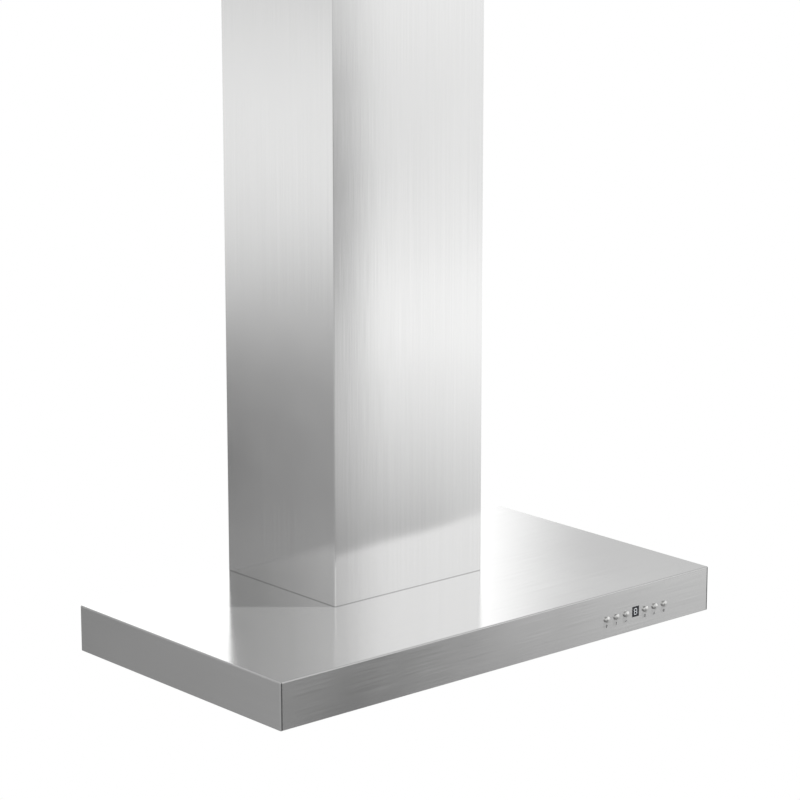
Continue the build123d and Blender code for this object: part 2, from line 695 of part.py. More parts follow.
# ------------------------------------------------------------------ electrical parts on the blower box
shelf = box_top
junction_low = (-box_width / 2 + 1, -50, shelf)
junction_size = (31, 100, 56)
junction_sheet = 1.2
junction_high = tuple(a + b for a, b in zip(junction_low, junction_size))
entry_radius = 11
entry_x = junction_low[0] + junction_size[0] / 2
entry_y = 20
with BuildPart() as junction_box:
    block(junction_low, junction_high)
    inside_low = [a + junction_sheet for a in junction_low]
    inside_high = [a - junction_sheet for a in junction_high]
    inside_low[0] = junction_low[0]
    block(inside_low, inside_high, Mode.SUBTRACT)
    top_face = (entry_x, entry_y, junction_high[2] - junction_sheet)
    disc(along("z", top_face), entry_radius, junction_sheet, Mode.SUBTRACT)
save(junction_box, "junction_box")

with BuildPart() as junction_box_lid:
    lid_x = junction_low[0]
    block((lid_x - junction_sheet, junction_low[1], shelf), (lid_x, junction_high[1], junction_high[2]))
    for y in (junction_low[1] + 8, junction_high[1] - 8):
        pan_screw(along("-x", (lid_x - junction_sheet, y, shelf + 28)), junction_sheet)
save(junction_box_lid, "junction_box_lid")

grommet_bore = 6.0
with BuildPart() as cable_grommet:
    groove = junction_high[2] - junction_sheet
    disc(along("z", (entry_x, entry_y, groove - 3)), entry_radius + 2.5, 3)
    disc(along("z", (entry_x, entry_y, groove)), entry_radius, junction_sheet)
    disc(along("z", (entry_x, entry_y, groove + junction_sheet)), entry_radius + 2.5, 4)
    fillet(cable_grommet.edges().filter_by(GeomType.CIRCLE).sort_by(Axis.Z)[-1], 1.5)
    disc(along("z", (entry_x, entry_y, groove - 3)), grommet_bore, 12, Mode.SUBTRACT)
save(cable_grommet, "cable_grommet")

capacitor_radius = 14
with BuildPart() as capacitor:
    centre = (box_width / 2 - capacitor_radius - 3, -35, shelf + capacitor_radius + 2)
    disc(along("y", centre), capacitor_radius, 70)
    fillet(capacitor.edges().filter_by(GeomType.CIRCLE), 2)
    block(
        (centre[0] - 10, -12, shelf), (centre[0] + 10, 12, centre[2] - capacitor_radius / 2)
    )
save(capacitor, "capacitor")

supply_x = canopy_width / 2 - 84
supply_low = (supply_x, middle_y - 60, liner_top)
supply_high = (supply_x + 46, middle_y + 60, liner_top + 36)
with BuildPart() as power_supply:
    block(supply_low, supply_high)
    fillet(power_supply.edges().filter_by(Axis.Z), 3)
    fillet(power_supply.faces().sort_by(Axis.Z)[-1].edges(), 1.5)
save(power_supply, "power_supply")

# ------------------------------------------------------------------ liner, lamps and filters
opening_x = [side * (mullion_width / 2 + filter_gap + filter_width / 2) for side in (-1, 1)]
well_width = filter_width + 2 * filter_gap
well_back = middle_y + (filter_depth + 2 * filter_gap) / 2
well_front = middle_y - (filter_depth + 2 * filter_gap) / 2
lamp_places = [(sx * lamp_x, middle_y + sy * lamp_y) for sy in (-1, 1) for sx in (-1, 1)]
with BuildPart() as liner_pan:
    block(
        (-liner_half_width, middle_y - liner_half_depth, underside),
        (liner_half_width, middle_y + liner_half_depth, liner_top),
    )
    fillet(liner_pan.edges().filter_by(Axis.Z), 3)
    block(
        (-liner_half_width + liner_sheet, middle_y - liner_half_depth + liner_sheet, underside),
        (liner_half_width - liner_sheet, middle_y + liner_half_depth - liner_sheet, liner_bottom),
        Mode.SUBTRACT,
    )
    for x in opening_x:
        block(
            (x - well_width / 2 - liner_sheet, well_front - liner_sheet, liner_top),
            (x + well_width / 2 + liner_sheet, well_back + liner_sheet, liner_top + well_height),
        )
    for x in opening_x:
        block(
            (x - well_width / 2, well_front, liner_top),
            (x + well_width / 2, well_back, liner_top + well_height),
            Mode.SUBTRACT,
        )
        block(
            (x - well_width / 2, well_front, liner_bottom),
            (x + well_width / 2, well_back - filter_gap - filter_ledge, liner_top),
            Mode.SUBTRACT,
        )
    for x, y in lamp_places:
        disc(along("z", (x, y, liner_bottom)), lamp_body_radius + 0.5, liner_sheet, Mode.SUBTRACT)
    for place, side, wall in tab_places:
        x, y = tab_point(place, side, wall, tab_reach / 2)
        disc(along("z", (x, y, liner_bottom)), screw_radius, liner_sheet, Mode.SUBTRACT)
save(liner_pan, "liner_pan")

with BuildPart() as canopy_screws:
    for place, side, wall in tab_places:
        x, y = tab_point(place, side, wall, tab_reach / 2)
        pan_screw(along("-z", (x, y, liner_bottom)), liner_sheet + 1.5 + 3)
    for x in (-bracket_bolt_x, bracket_bolt_x):
        for y in (-bracket_bolt_y, bracket_bolt_y):
            stack = canopy_sheet + bracket_thickness
            disc(along("-z", (x, y, canopy_top - canopy_sheet)), bolt_head_radius, bolt_head_height)
            disc(along("z", (x, y, canopy_top - canopy_sheet)), bolt_radius, stack + nut_height + 1)
            hex_nut(along("z", (x, y, canopy_top + bracket_thickness)), bolt_radius)
save(canopy_screws, "canopy_screws")

for number, (x, y) in enumerate(lamp_places, start=1):
    with BuildPart() as lamp_housing:
        bezel = along("-z", (x, y, liner_bottom))
        disc(bezel, lamp_bezel_radius, lamp_bezel_height)
        fillet(lamp_housing.edges().sort_by(Axis.Z)[0], 1.2)
        disc(along("z", (x, y, liner_bottom)), lamp_body_radius, liner_sheet + lamp_body_height)
        lens_seat = along("z", (x, y, liner_bottom - lamp_bezel_height))
        disc(lens_seat, lamp_lens_radius, lamp_lens_thickness + 0.6, Mode.SUBTRACT)
        disc(lens_seat, lamp_lens_radius - 3, lamp_bezel_height + lamp_body_height - 3, Mode.SUBTRACT)
        fins = along("z", (x, y, liner_top + lamp_body_height - 8))
        for offset_x in range(-20, 21, 8):
            with BuildSketch(fins):
                with Locations((offset_x, 0)):
                    Rectangle(3, 60)
            extrude(amount=8, mode=Mode.SUBTRACT)
    save(lamp_housing, f"lamp_housing_{number}")
    with BuildPart() as lamp_lens:
        lens_bottom = liner_bottom - lamp_bezel_height + 0.6
        disc(along("z", (x, y, lens_bottom)), lamp_lens_radius, lamp_lens_thickness)
        fillet(lamp_lens.edges().sort_by(Axis.Z)[0], 0.8)
    save(lamp_lens, f"lamp_lens_{number}")

filter_back = well_back - filter_gap
filter_front = filter_back - filter_depth
handle_y = filter_front + filter_border / 2
handle_z = liner_top - lug_size / 2
clip_offset = 90
for name, x in zip(SIDES, opening_x):
    with BuildPart() as filter_frame:
        low, high = liner_top, liner_top + filter_thickness
        block((x - filter_width / 2, filter_front, low), (x + filter_width / 2, filter_back, high))
        fillet(filter_frame.edges().filter_by(Axis.Z), 2)
        block(
            (x - filter_width / 2 + filter_sheet, filter_front + filter_sheet, low + filter_sheet),
            (x + filter_width / 2 - filter_sheet, filter_back - filter_sheet, high - filter_sheet),
            Mode.SUBTRACT,
        )
        block(
            (x - filter_width / 2 + filter_border, filter_front + filter_border, low),
            (x + filter_width / 2 - filter_border, filter_back - filter_border, high),
            Mode.SUBTRACT,
        )
        for side in (-1, 1):
            lug = x + side * (handle_width / 2 + 1)
            block(
                (lug, handle_y - lug_size / 2, low - lug_size / 2 - 2.6),
                (lug - side * lug_thickness, handle_y + lug_size / 2, low),
            )
            eye = along("x" if side > 0 else "-x", (lug - side * (lug_thickness + 1), handle_y, handle_z))
            disc(eye, handle_wire_radius + 0.08, lug_thickness + 2, Mode.SUBTRACT)
    save(filter_frame, f"filter_frame_{name}")

    slat_run = filter_width - 2 * (filter_sheet + 0.5) - baffle_width
    slat_steps = 2 * round(slat_run / baffle_pitch)
    with BuildPart() as filter_baffles:
        for step in range(slat_steps + 1):
            lower = step % 2 == 1
            centre = x + (step / slat_steps - 0.5) * slat_run
            base = liner_top + filter_sheet if lower else liner_top + filter_thickness - filter_sheet
            up = 1 if lower else -1
            with BuildSketch(Plane.XZ.offset(-(filter_front + filter_back) / 2)) as slat:
                with Locations((centre, base + up * baffle_wall / 2)):
                    Rectangle(baffle_width, baffle_wall)
                with Locations((centre, base + up * (baffle_wall + baffle_sheet) / 2)):
                    hollow = baffle_width - 2 * baffle_sheet
                    Rectangle(hollow, baffle_wall - baffle_sheet, mode=Mode.SUBTRACT)
                fillet(slat.vertices().group_by(Axis.Y)[0 if lower else -1], baffle_sheet)
            extrude(amount=filter_depth / 2 - filter_sheet - 1.5, both=True)
    save(filter_baffles, f"filter_baffles_{name}")

    with BuildPart() as filter_handle:
        reach = handle_width / 2 - lug_thickness + 1
        with BuildLine() as bail:
            FilletPolyline(
                (x - reach - 6, handle_y, handle_z),
                (x - reach + 6, handle_y, handle_z),
                (x - reach + 6, handle_y, handle_z - handle_drop),
                (x + reach - 6, handle_y, handle_z - handle_drop),
                (x + reach - 6, handle_y, handle_z),
                (x + reach + 6, handle_y, handle_z),
                radius=4,
            )
        with BuildSketch(Plane(origin=bail.line @ 0, z_dir=bail.line % 0)):
            Circle(handle_wire_radius)
        sweep()
    save(filter_handle, f"filter_handle_{name}")

clip_width = 14
clip_sheet = 0.6
with BuildPart() as filter_clips:
    for x in opening_x:
        for side in (-1, 1):
            at = x + side * clip_offset
            with BuildSketch(Plane.YZ.offset(at - clip_width / 2)):
                with BuildLine():
                    Polyline(
                        (well_front + clip_sheet / 2, liner_top + filter_thickness),
                        (well_front + clip_sheet / 2, liner_top),
                        (well_front + filter_gap + 2.2, liner_top - 1.4),
                        (well_front + clip_sheet / 2 + 0.4, liner_top - 5),
                    )
                trace(line_width=clip_sheet)
            extrude(amount=clip_width)
save(filter_clips, "filter_clips")

# ------------------------------------------------------------------ controls
housing_back = inner_front_y + housing_depth
board_front = inner_front_y + board_gap
window_flange = 1.0
window_border = 1.4
pocket_depth = 0.1 + button_flange + button_travel + 0.2
with BuildPart() as button_housing:
    with Locations((panel_x, inner_front_y + housing_depth / 2, panel_z)):
        Box(housing_width, housing_depth, housing_height)
    fillet(button_housing.edges().filter_by(Axis.Y), 3)
    for x in button_places:
        pocket = along("y", (x, inner_front_y, panel_z))
        disc(pocket, button_flange_radius + 0.5, pocket_depth, Mode.SUBTRACT)
        disc(pocket, stem_radius + 0.15, housing_depth, Mode.SUBTRACT)
    with Locations((panel_x, inner_front_y + housing_depth / 2, panel_z)):
        Box(window_width, housing_depth, window_height, mode=Mode.SUBTRACT)
    half_x = window_width / 2 + window_border + 0.2
    half_z = window_height / 2 + window_border + 0.2
    block(
        (panel_x - half_x, inner_front_y, panel_z - half_z),
        (panel_x + half_x, inner_front_y + window_flange + 0.2, panel_z + half_z),
        Mode.SUBTRACT,
    )
    with Locations((panel_x, housing_back, panel_z)):
        with GridLocations(housing_width - 10, 0, 2, 1):
            for z in (-9, 9):
                with Locations((0, 0, z)):
                    Box(5, board_gap - housing_depth, 5, align=(Align.CENTER, Align.MIN, Align.CENTER))
save(button_housing, "button_housing")

switch_size = 6
switch_height = 3.5
plunger_height = 0.4
with BuildPart() as control_board:
    with Locations((panel_x, board_front, panel_z)):
        board = (housing_width - 4, board_thickness, housing_height - 2)
        Box(*board, align=(Align.CENTER, Align.MIN, Align.CENTER))
    for x in button_places:
        with Locations((x, board_front, panel_z)):
            Box(switch_size, switch_height, switch_size, align=(Align.CENTER, Align.MAX, Align.CENTER))
        disc(along("-y", (x, board_front - switch_height, panel_z)), 1.7, plunger_height)
save(control_board, "control_board")

with BuildPart() as display_module:
    half_x = window_width / 2 - 0.3
    half_z = window_height / 2 - 0.3
    face_y = inner_front_y + window_flange + 0.4
    block((panel_x - half_x, face_y, panel_z - half_z), (panel_x + half_x, board_front, panel_z + half_z))
save(display_module, "display_module")

with BuildPart() as display_window:
    block(
        (panel_x - window_width / 2, front_y + 0.1, panel_z - window_height / 2),
        (panel_x + window_width / 2, inner_front_y, panel_z + window_height / 2),
    )
    half_x = window_width / 2 + window_border
    half_z = window_height / 2 + window_border
    block(
        (panel_x - half_x, inner_front_y, panel_z - half_z),
        (panel_x + half_x, inner_front_y + window_flange, panel_z + half_z),
    )
save(display_window, "display_window")

for number, x in enumerate(button_places, start=1):
    with BuildPart() as button:
        cap_length = button_reach + canopy_sheet + 0.1
        disc(along("y", (x, front_y - button_reach, panel_z)), button_radius, cap_length)
        fillet(button.edges().filter_by(GeomType.CIRCLE).sort_by(Axis.Y)[0], 0.9)
        disc(along("y", (x, inner_front_y + 0.1, panel_z)), button_flange_radius, button_flange)
        disc(along("y", (x, inner_front_y + 0.1, panel_z)), stem_radius, stem_reach - 0.1)
    save(button, f"button_{number}")

# ------------------------------------------------------------------ control cable, board to power supply
cable_radius = 2.5
cable_z = panel_z
cable_end = (supply_low[0] + 23, supply_low[1], liner_top + 22)
board_back = board_front + board_thickness
cable_route = [
    (panel_x + 30, board_back, cable_z),
    (panel_x + 30, board_back + 22, cable_z),
    (panel_x + 46, board_back + 56, cable_z + 8),
    (cable_end[0] - 44, cable_end[1] - 96, cable_z + 14),
    (cable_end[0] - 10, cable_end[1] - 52, cable_z + 6),
    (cable_end[0], cable_end[1] - 22, cable_end[2]),
    cable_end,
]
route = [Vector(*point) for point in cable_route]
cable_radii = []
for before, corner, after in zip(route, route[1:], route[2:]):
    arriving, leaving = corner - before, after - corner
    turn = arriving.get_angle(leaving)
    shorter = min(arriving.length, leaving.length)
    cable_radii.append(0.45 * shorter / tan(radians(turn) / 2))
print("control cable radii, mm:", [round(radius, 1) for radius in cable_radii])
with BuildPart() as control_cable:
    with BuildLine() as cable_line:
        FilletPolyline(*cable_route, radius=cable_radii)
    with BuildSketch(Plane(origin=cable_line.line @ 0, z_dir=cable_line.line % 0)):
        Circle(cable_radius)
    sweep()
save(control_cable, "control_cable")
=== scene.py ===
"""Looks for an island range hood: satin steel, controls, lamps, filters and blower."""

import enum
import logging
import math
from dataclasses import dataclass, field
from typing import Iterable, Sequence, Union

import bmesh
import bpy
import numpy as np
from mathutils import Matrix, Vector


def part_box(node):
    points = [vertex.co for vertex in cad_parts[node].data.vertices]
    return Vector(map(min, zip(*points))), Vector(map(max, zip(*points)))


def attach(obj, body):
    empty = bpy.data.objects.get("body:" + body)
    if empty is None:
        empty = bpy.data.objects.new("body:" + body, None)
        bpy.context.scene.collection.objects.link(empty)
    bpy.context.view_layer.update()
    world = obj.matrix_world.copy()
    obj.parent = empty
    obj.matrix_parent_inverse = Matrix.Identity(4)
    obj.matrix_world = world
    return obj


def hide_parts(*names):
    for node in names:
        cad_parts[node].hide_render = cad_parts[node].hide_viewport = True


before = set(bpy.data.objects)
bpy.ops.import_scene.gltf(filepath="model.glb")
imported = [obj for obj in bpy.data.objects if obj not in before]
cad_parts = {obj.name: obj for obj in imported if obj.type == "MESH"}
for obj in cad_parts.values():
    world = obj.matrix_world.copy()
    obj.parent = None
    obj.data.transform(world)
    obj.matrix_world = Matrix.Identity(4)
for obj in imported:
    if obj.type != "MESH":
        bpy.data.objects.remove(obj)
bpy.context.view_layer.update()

LOG = logging.getLogger("range_hood")
MM = 0.001
Number = Union[float, "Value"]
Colour = tuple[float, float, float]
Shape = tuple[np.ndarray, np.ndarray]


# ---------------- shader maths
class Value:
    """A number, colour or vector inside a shader: an output socket whose operators add nodes."""

    def __init__(self, graph: "Graph", socket: bpy.types.NodeSocket) -> None:
        """Wraps an output socket of a graph."""
        self.graph = graph
        self.socket = socket

    def __add__(self, other: Number) -> "Value":
        """self + other."""
        return self.graph.math("ADD", self, other)

    def __radd__(self, other: Number) -> "Value":
        """other + self."""
        return self.graph.math("ADD", other, self)

    def __sub__(self, other: Number) -> "Value":
        """self - other."""
        return self.graph.math("SUBTRACT", self, other)

    def __rsub__(self, other: Number) -> "Value":
        """other - self."""
        return self.graph.math("SUBTRACT", other, self)

    def __mul__(self, other: Number) -> "Value":
        """self * other."""
        return self.graph.math("MULTIPLY", self, other)

    def __rmul__(self, other: Number) -> "Value":
        """other * self."""
        return self.graph.math("MULTIPLY", other, self)

    def __neg__(self) -> "Value":
        """Minus self."""
        return self.graph.math("MULTIPLY", self, -1.0)

    def __abs__(self) -> "Value":
        """The size of self without its sign."""
        return self.graph.math("ABSOLUTE", self)


class Graph:
    """The nodes of one material or world, added through one method."""

    def __init__(self, tree: bpy.types.NodeTree) -> None:
        """Empties a node tree and takes it over."""
        self.tree = tree
        tree.nodes.clear()

    def node(self, kind: str, settings: dict | None = None, inputs: dict | None = None) -> bpy.types.Node:
        """Adds one node.

        Args:
            kind: the node's Blender type name.
            settings: properties, set before the inputs.
            inputs: socket names or numbers, with constants or Values.

        Returns:
            The new node.
        """
        made = self.tree.nodes.new(kind)
        for name, value in (settings or {}).items():
            setattr(made, name, value)
        for name, value in (inputs or {}).items():
            self.feed(made.inputs[name], value)
        return made

    def feed(self, socket: bpy.types.NodeSocket, value: object) -> None:
        """Links a Value to an input socket, or sets a constant on it."""
        if isinstance(value, Value):
            self.tree.links.new(value.socket, socket)
        else:
            socket.default_value = value

    def out(self, node: bpy.types.Node, name: str | int = 0) -> Value:
        """A node's output as a Value."""
        return Value(self, node.outputs[name])

    def math(self, operation: str, first: Number, second: Number | None = None) -> Value:
        """One Math node on one or two numbers."""
        inputs = {0: first} if second is None else {0: first, 1: second}
        return self.out(self.node("ShaderNodeMath", {"operation": operation}, inputs))

    def vector(self, operation: str, first: object, second: object = None, out: str = "Vector") -> Value:
        """One Vector Math node, or its Value output where that is asked for."""
        inputs = {0: first} if second is None else {0: first, 1: second}
        return self.out(self.node("ShaderNodeVectorMath", {"operation": operation}, inputs), out)

    def times(self, vector: object, factor: Number) -> Value:
        """A vector made longer or shorter by a factor."""
        made = self.node("ShaderNodeVectorMath", {"operation": "SCALE"}, {0: vector, "Scale": factor})
        return self.out(made, "Vector")

    def parts(self, vector: Value) -> tuple[Value, Value, Value]:
        """The X, Y and Z of a vector."""
        made = self.node("ShaderNodeSeparateXYZ", None, {0: vector})
        return self.out(made, 0), self.out(made, 1), self.out(made, 2)

    def join(self, x: Number, y: Number, z: Number) -> Value:
        """A vector from three numbers."""
        return self.out(self.node("ShaderNodeCombineXYZ", None, {0: x, 1: y, 2: z}))

    def mix(self, factor: Number, first: object, second: object) -> Value:
        """A colour between two, by a factor from 0 to 1."""
        made = self.node("ShaderNodeMix", {"data_type": "RGBA"})
        self.feed(made.inputs[0], factor)
        for socket, value in ((made.inputs[6], first), (made.inputs[7], second)):
            self.feed(socket, (*value, 1.0) if isinstance(value, tuple) else value)
        return Value(self, made.outputs[2])

    def step(self, value: Number, low: float, high: float, start: float = 0.0, end: float = 1.0) -> Value:
        """A smooth step: start below low, end above high, and an S curve between."""
        settings = {"interpolation_type": "SMOOTHSTEP", "clamp": True}
        inputs = {"Value": value, "From Min": low, "From Max": high, "To Min": start, "To Max": end}
        return self.out(self.node("ShaderNodeMapRange", settings, inputs))

    def place(self) -> Value:
        """The point on the surface, in the piece's own coordinates, in metres."""
        return self.out(self.node("ShaderNodeTexCoord"), "Object")

    def facing(self) -> Value:
        """The surface's own direction in the piece's coordinates."""
        return self.out(self.node("ShaderNodeTexCoord"), "Normal")

    def noise(self, at: Value, scale: float, detail: float = 2.0, roughness: float = 0.5) -> Value:
        """Cloudy noise from 0 to 1, with its mean near a half."""
        inputs = {"Vector": at, "Scale": scale, "Detail": detail, "Roughness": roughness}
        return self.out(self.node("ShaderNodeTexNoise", None, inputs), 0)

    def cells(self, at: Value, scale: float, feature: str = "F1", out: str = "Distance") -> Value:
        """Voronoi cells: the distance to the nearest, or the cell's own colour."""
        settings = {"feature": feature}
        return self.out(self.node("ShaderNodeTexVoronoi", settings, {"Vector": at, "Scale": scale}), out)

    def bump(self, height: Number, distance: float, strength: float = 1.0) -> Value:
        """The surface direction bent by a height from 0 to 1, with distance as the depth of 1 in metres."""
        inputs = {"Height": height, "Distance": distance, "Strength": strength}
        return self.out(self.node("ShaderNodeBump", None, inputs))


# ---------------- finishes
class Finish:
    """What every finish shares: a named material made once and put on any number of pieces."""

    name: str = "finish"
    made: dict[str, bpy.types.Material] = {}

    def material(self) -> bpy.types.Material:
        """The finish's material, made the first time it is asked for."""
        if self.name not in Finish.made:
            made = bpy.data.materials.new(self.name)
            made.use_nodes = True
            graph = Graph(made.node_tree)
            shader = graph.node("ShaderNodeBsdfPrincipled")
            output = graph.node("ShaderNodeOutputMaterial")
            made.node_tree.links.new(shader.outputs[0], output.inputs[0])
            self.fill(graph, shader)
            Finish.made[self.name] = made
        return Finish.made[self.name]

    def fill(self, graph: Graph, shader: bpy.types.Node) -> None:
        """Sets the shader's sockets; each finish has its own."""
        raise NotImplementedError

    @staticmethod
    def set(graph: Graph, shader: bpy.types.Node, **values: object) -> None:
        """Feeds sockets by name, with underscores for spaces."""
        for name, value in values.items():
            socket = shader.inputs[name.replace("_", " ")]
            graph.feed(socket, (*value, 1.0) if isinstance(value, tuple) and len(value) == 3 else value)

    def put_on(self, *nodes: str) -> None:
        """Puts the finish on CAD nodes by name."""
        for node in nodes:
            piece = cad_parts[node]
            piece.data.materials.clear()
            piece.data.materials.append(self.material())


class Grain(enum.Enum):
    """Which way the polishing lines of a steel sheet run."""

    UPRIGHT = "upright"
    LENGTHWISE = "lengthwise"
    FRONT_TO_BACK = "front to back"


@dataclass(frozen=True)
class SatinSteel(Finish):
    """Stainless sheet polished with a fine belt: dense lines that smear reflections across the grain.

    The surface direction is tilted by noise, strongly across the lines and weakly along them, so that the many
    lines under one spot blur what it mirrors. The sheet also bows a little towards its folded edges.
    """

    name: str = "satin_steel"
    grain: Grain = Grain.LENGTHWISE
    colour: Colour = (0.65, 0.65, 0.648)
    roughness: float = 0.13
    metallic: float = 0.95
    # The next five settings paint shade into the colour: a darker level top, a dark line in a corner seam, a
    # dark line at a panel's foot, and darker top folds.
    top_painted_shade: float = 1.0
    seam_x: float = 0.0
    foot: float = 0.0
    seam_half: float = 0.0007
    fold: float = 1.0
    across: float = 0.02
    along: float = 0.006
    lines_per_metre: float = 2600.0
    bow: float = 0.0
    bow_reach: float = 0.03
    half_width: float = 0.155
    half_depth: float = 0.135

    def grain_frame(self, graph: Graph, direction: Value) -> tuple[Value, Value]:
        """The unit vectors along and across the lines, in the surface.

        On level faces the lines run along X, and on upright ones the grain decides.

        Args:
            graph: the material's graph.
            direction: the surface's direction.

        Returns:
            The along and across vectors.
        """
        x, y, z = graph.parts(direction)
        level = graph.step(abs(z), 0.6, 0.8)
        if self.grain is Grain.UPRIGHT:
            lines = graph.join(level, 0.0, 1.0 - level)
        elif self.grain is Grain.LENGTHWISE:
            side = graph.step(abs(x), 0.6, 0.8)
            lines = graph.join(1.0 - side, side, 0.0)
        else:
            lines = graph.join(0.0, 1.0, 0.0)
        across = graph.vector("NORMALIZE", graph.vector("CROSS_PRODUCT", direction, lines))
        along = graph.vector("CROSS_PRODUCT", across, direction)
        return along, across

    def fill(self, graph: Graph, shader: bpy.types.Node) -> None:
        """Lines, cloudy polish, painted shade at the folds, corner seam and foot, and the sheet's bow.

        Args:
            graph: the material's graph.
            shader: its Principled shader.
        """
        at = graph.place()
        direction = graph.facing()
        along, across = self.grain_frame(graph, direction)
        run = graph.vector("DOT_PRODUCT", at, along, "Value")
        row = graph.vector("DOT_PRODUCT", at, across, "Value")
        streaks = graph.join(run * 9.0, row * self.lines_per_metre, 0.0)
        coarse = graph.join(run * 2.2, row * self.lines_per_metre * 0.16, 4.0)
        fine = graph.noise(streaks, 1.0, 1.0)
        broad = graph.noise(coarse, 1.0, 2.0)
        flecks = graph.noise(graph.join(run * 900.0, row * 900.0, 9.0), 1.0, 1.0)
        polish = graph.noise(at, 3.2, 3.0, 0.55)
        tilt = (fine - 0.5) * self.across * 4.0 + (broad - 0.5) * self.across * 0.06
        bent = graph.vector("ADD", direction, graph.times(across, tilt))
        bent = graph.vector("ADD", bent, graph.times(along, (flecks - 0.5) * self.along * 4.0))
        if self.bow > 0.0:
            bent = graph.vector("ADD", bent, self.bowed(graph, at, direction))
        world = {"vector_type": "NORMAL", "convert_from": "OBJECT", "convert_to": "WORLD"}
        turned = graph.out(graph.node("ShaderNodeVectorTransform", world, {0: bent}))
        streak_shade = graph.step(broad, 0.3, 0.7, 0.985, 1.015)
        cloud = graph.step(polish, 0.3, 0.7, 0.985, 1.012)
        # Painted shade: level faces darkened by the top shade factor, and folds, corner seams and a panel's
        # foot by fold_shade.
        level = graph.step(graph.parts(direction)[2], 0.6, 0.9, 1.0, self.top_painted_shade)
        tone = streak_shade * cloud * level * self.fold_shade(graph, at, direction)
        shade = graph.join(tone, tone, tone)
        tint = graph.vector("MULTIPLY", self.colour, shade)
        gloss = polish + (fine - 0.5) * 0.3
        self.set(
            graph, shader,
            Base_Color=tint,
            Metallic=self.metallic,
            Roughness=graph.step(gloss, 0.25, 0.75, self.roughness - 0.02, self.roughness + 0.03),
            Normal=graph.vector("NORMALIZE", turned),
        )

    def fold_shade(self, graph: Graph, at: Value, direction: Value) -> Number:
        """Painted shade along the top folds, and painted shadow lines in the corner seam and at a panel's foot.

        Args:
            graph: the material's graph.
            at: the point on the surface.
            direction: the surface's direction.

        Returns:
            A factor for the colour; 1 where there is neither fold nor seam.
        """
        if self.foot:
            # Painted shadow line: the lowest 1.8 mm of the panel darkened to 0.55, where it meets the canopy.
            return graph.step(graph.parts(at)[2], self.foot, self.foot + 1.8 * MM, 0.55, 1.0)
        if not self.seam_x:
            return 1.0
        x, _, _ = graph.parts(at)
        _, ny, nz = graph.parts(direction)
        # Painted shade along the top folds, where the bend would mirror the bright room above: folds darkened
        # to the fold factor.
        painted_fold_shade_mask = graph.step(nz, 0.02, 0.12) * (1.0 - graph.step(nz, 0.5, 0.75))
        # Painted shadow line in the corner seam's gap, on the front and back faces: darkened to 0.15 of the
        # colour.
        gap = abs(abs(x) - self.seam_x)
        seam = (1.0 - graph.step(gap, self.seam_half, self.seam_half * 1.5)) * graph.step(abs(ny), 0.7, 0.95)
        return (1.0 - painted_fold_shade_mask * (1.0 - self.fold)) * (1.0 - seam * 0.85)

    def bowed(self, graph: Graph, at: Value, direction: Value) -> Value:
        """How the sheet turns towards its folds: outwards, by bow times a smooth step of |x|.

        Args:
            graph: the material's graph.
            at: the point on the surface.
            direction: the surface's direction.

        Returns:
            The vector to add to the direction.
        """
        x, y, _ = graph.parts(at)
        nx, ny, _ = graph.parts(direction)
        turn_x = self.fold_turn(graph, x, self.half_width) * abs(ny)
        turn_y = self.fold_turn(graph, y, self.half_depth) * abs(nx) * 0.2
        return graph.join(turn_x, turn_y, 0.0)

    def fold_turn(self, graph: Graph, place: Value, half: float) -> Value:
        """The turn towards the fold that place is nearer to, with the sign of place."""
        near = graph.step(abs(place), half - self.bow_reach, half + 0.3 * self.bow_reach)
        return near * self.bow * graph.math("SIGN", place)


@dataclass(frozen=True)
class ZincSheet(Finish):
    """Hot-dip galvanised sheet: crystal spangles that differ in shade and gloss."""

    name: str = "zinc_sheet"
    colour: Colour = (0.50, 0.52, 0.54)
    spangles: float = 90.0

    def fill(self, graph: Graph, shader: bpy.types.Node) -> None:
        """Voronoi spangles, faint frost in each, and a slight bump at their borders."""
        at = graph.place()
        spangle = graph.cells(at, self.spangles, out="Color")
        shade, gloss, _ = graph.parts(spangle)
        frost = graph.noise(at, 700.0, 3.0, 0.6)
        tone = graph.step(shade + (frost - 0.5) * 0.5, 0.0, 1.0)
        dark = tuple(c * 0.78 for c in self.colour)
        light = tuple(min(1.0, c * 1.18) for c in self.colour)
        height = graph.cells(at, self.spangles) * 0.6 + frost * 0.4
        self.set(
            graph, shader,
            Base_Color=graph.mix(tone, dark, light),
            Metallic=1.0,
            Roughness=graph.step(gloss, 0.0, 1.0, 0.32, 0.52),
            Normal=graph.bump(height, 0.00006, 0.5),
        )


@dataclass(frozen=True)
class PlatedSteel(Finish):
    """Zinc or nickel plated small parts: bright, with fine turning marks and a slightly cloudy plating."""

    name: str = "plated_steel"
    colour: Colour = (0.68, 0.68, 0.66)
    roughness: float = 0.22
    marks: float = 2200.0

    def fill(self, graph: Graph, shader: bpy.types.Node) -> None:
        """Fine marks in bump and roughness over a slightly cloudy plating."""
        at = graph.place()
        cloud = graph.noise(at, 160.0, 3.0, 0.6)
        scratch = graph.noise(graph.vector("MULTIPLY", at, (1.0, 1.0, 0.12)), self.marks, 2.0)
        dark = tuple(c * 0.82 for c in self.colour)
        self.set(
            graph, shader,
            Base_Color=graph.mix(graph.step(cloud, 0.3, 0.7), dark, self.colour),
            Metallic=1.0,
            Roughness=graph.step(scratch, 0.25, 0.75, self.roughness - 0.06, self.roughness + 0.1),
            Normal=graph.bump(scratch, 0.00002, 0.35),
        )


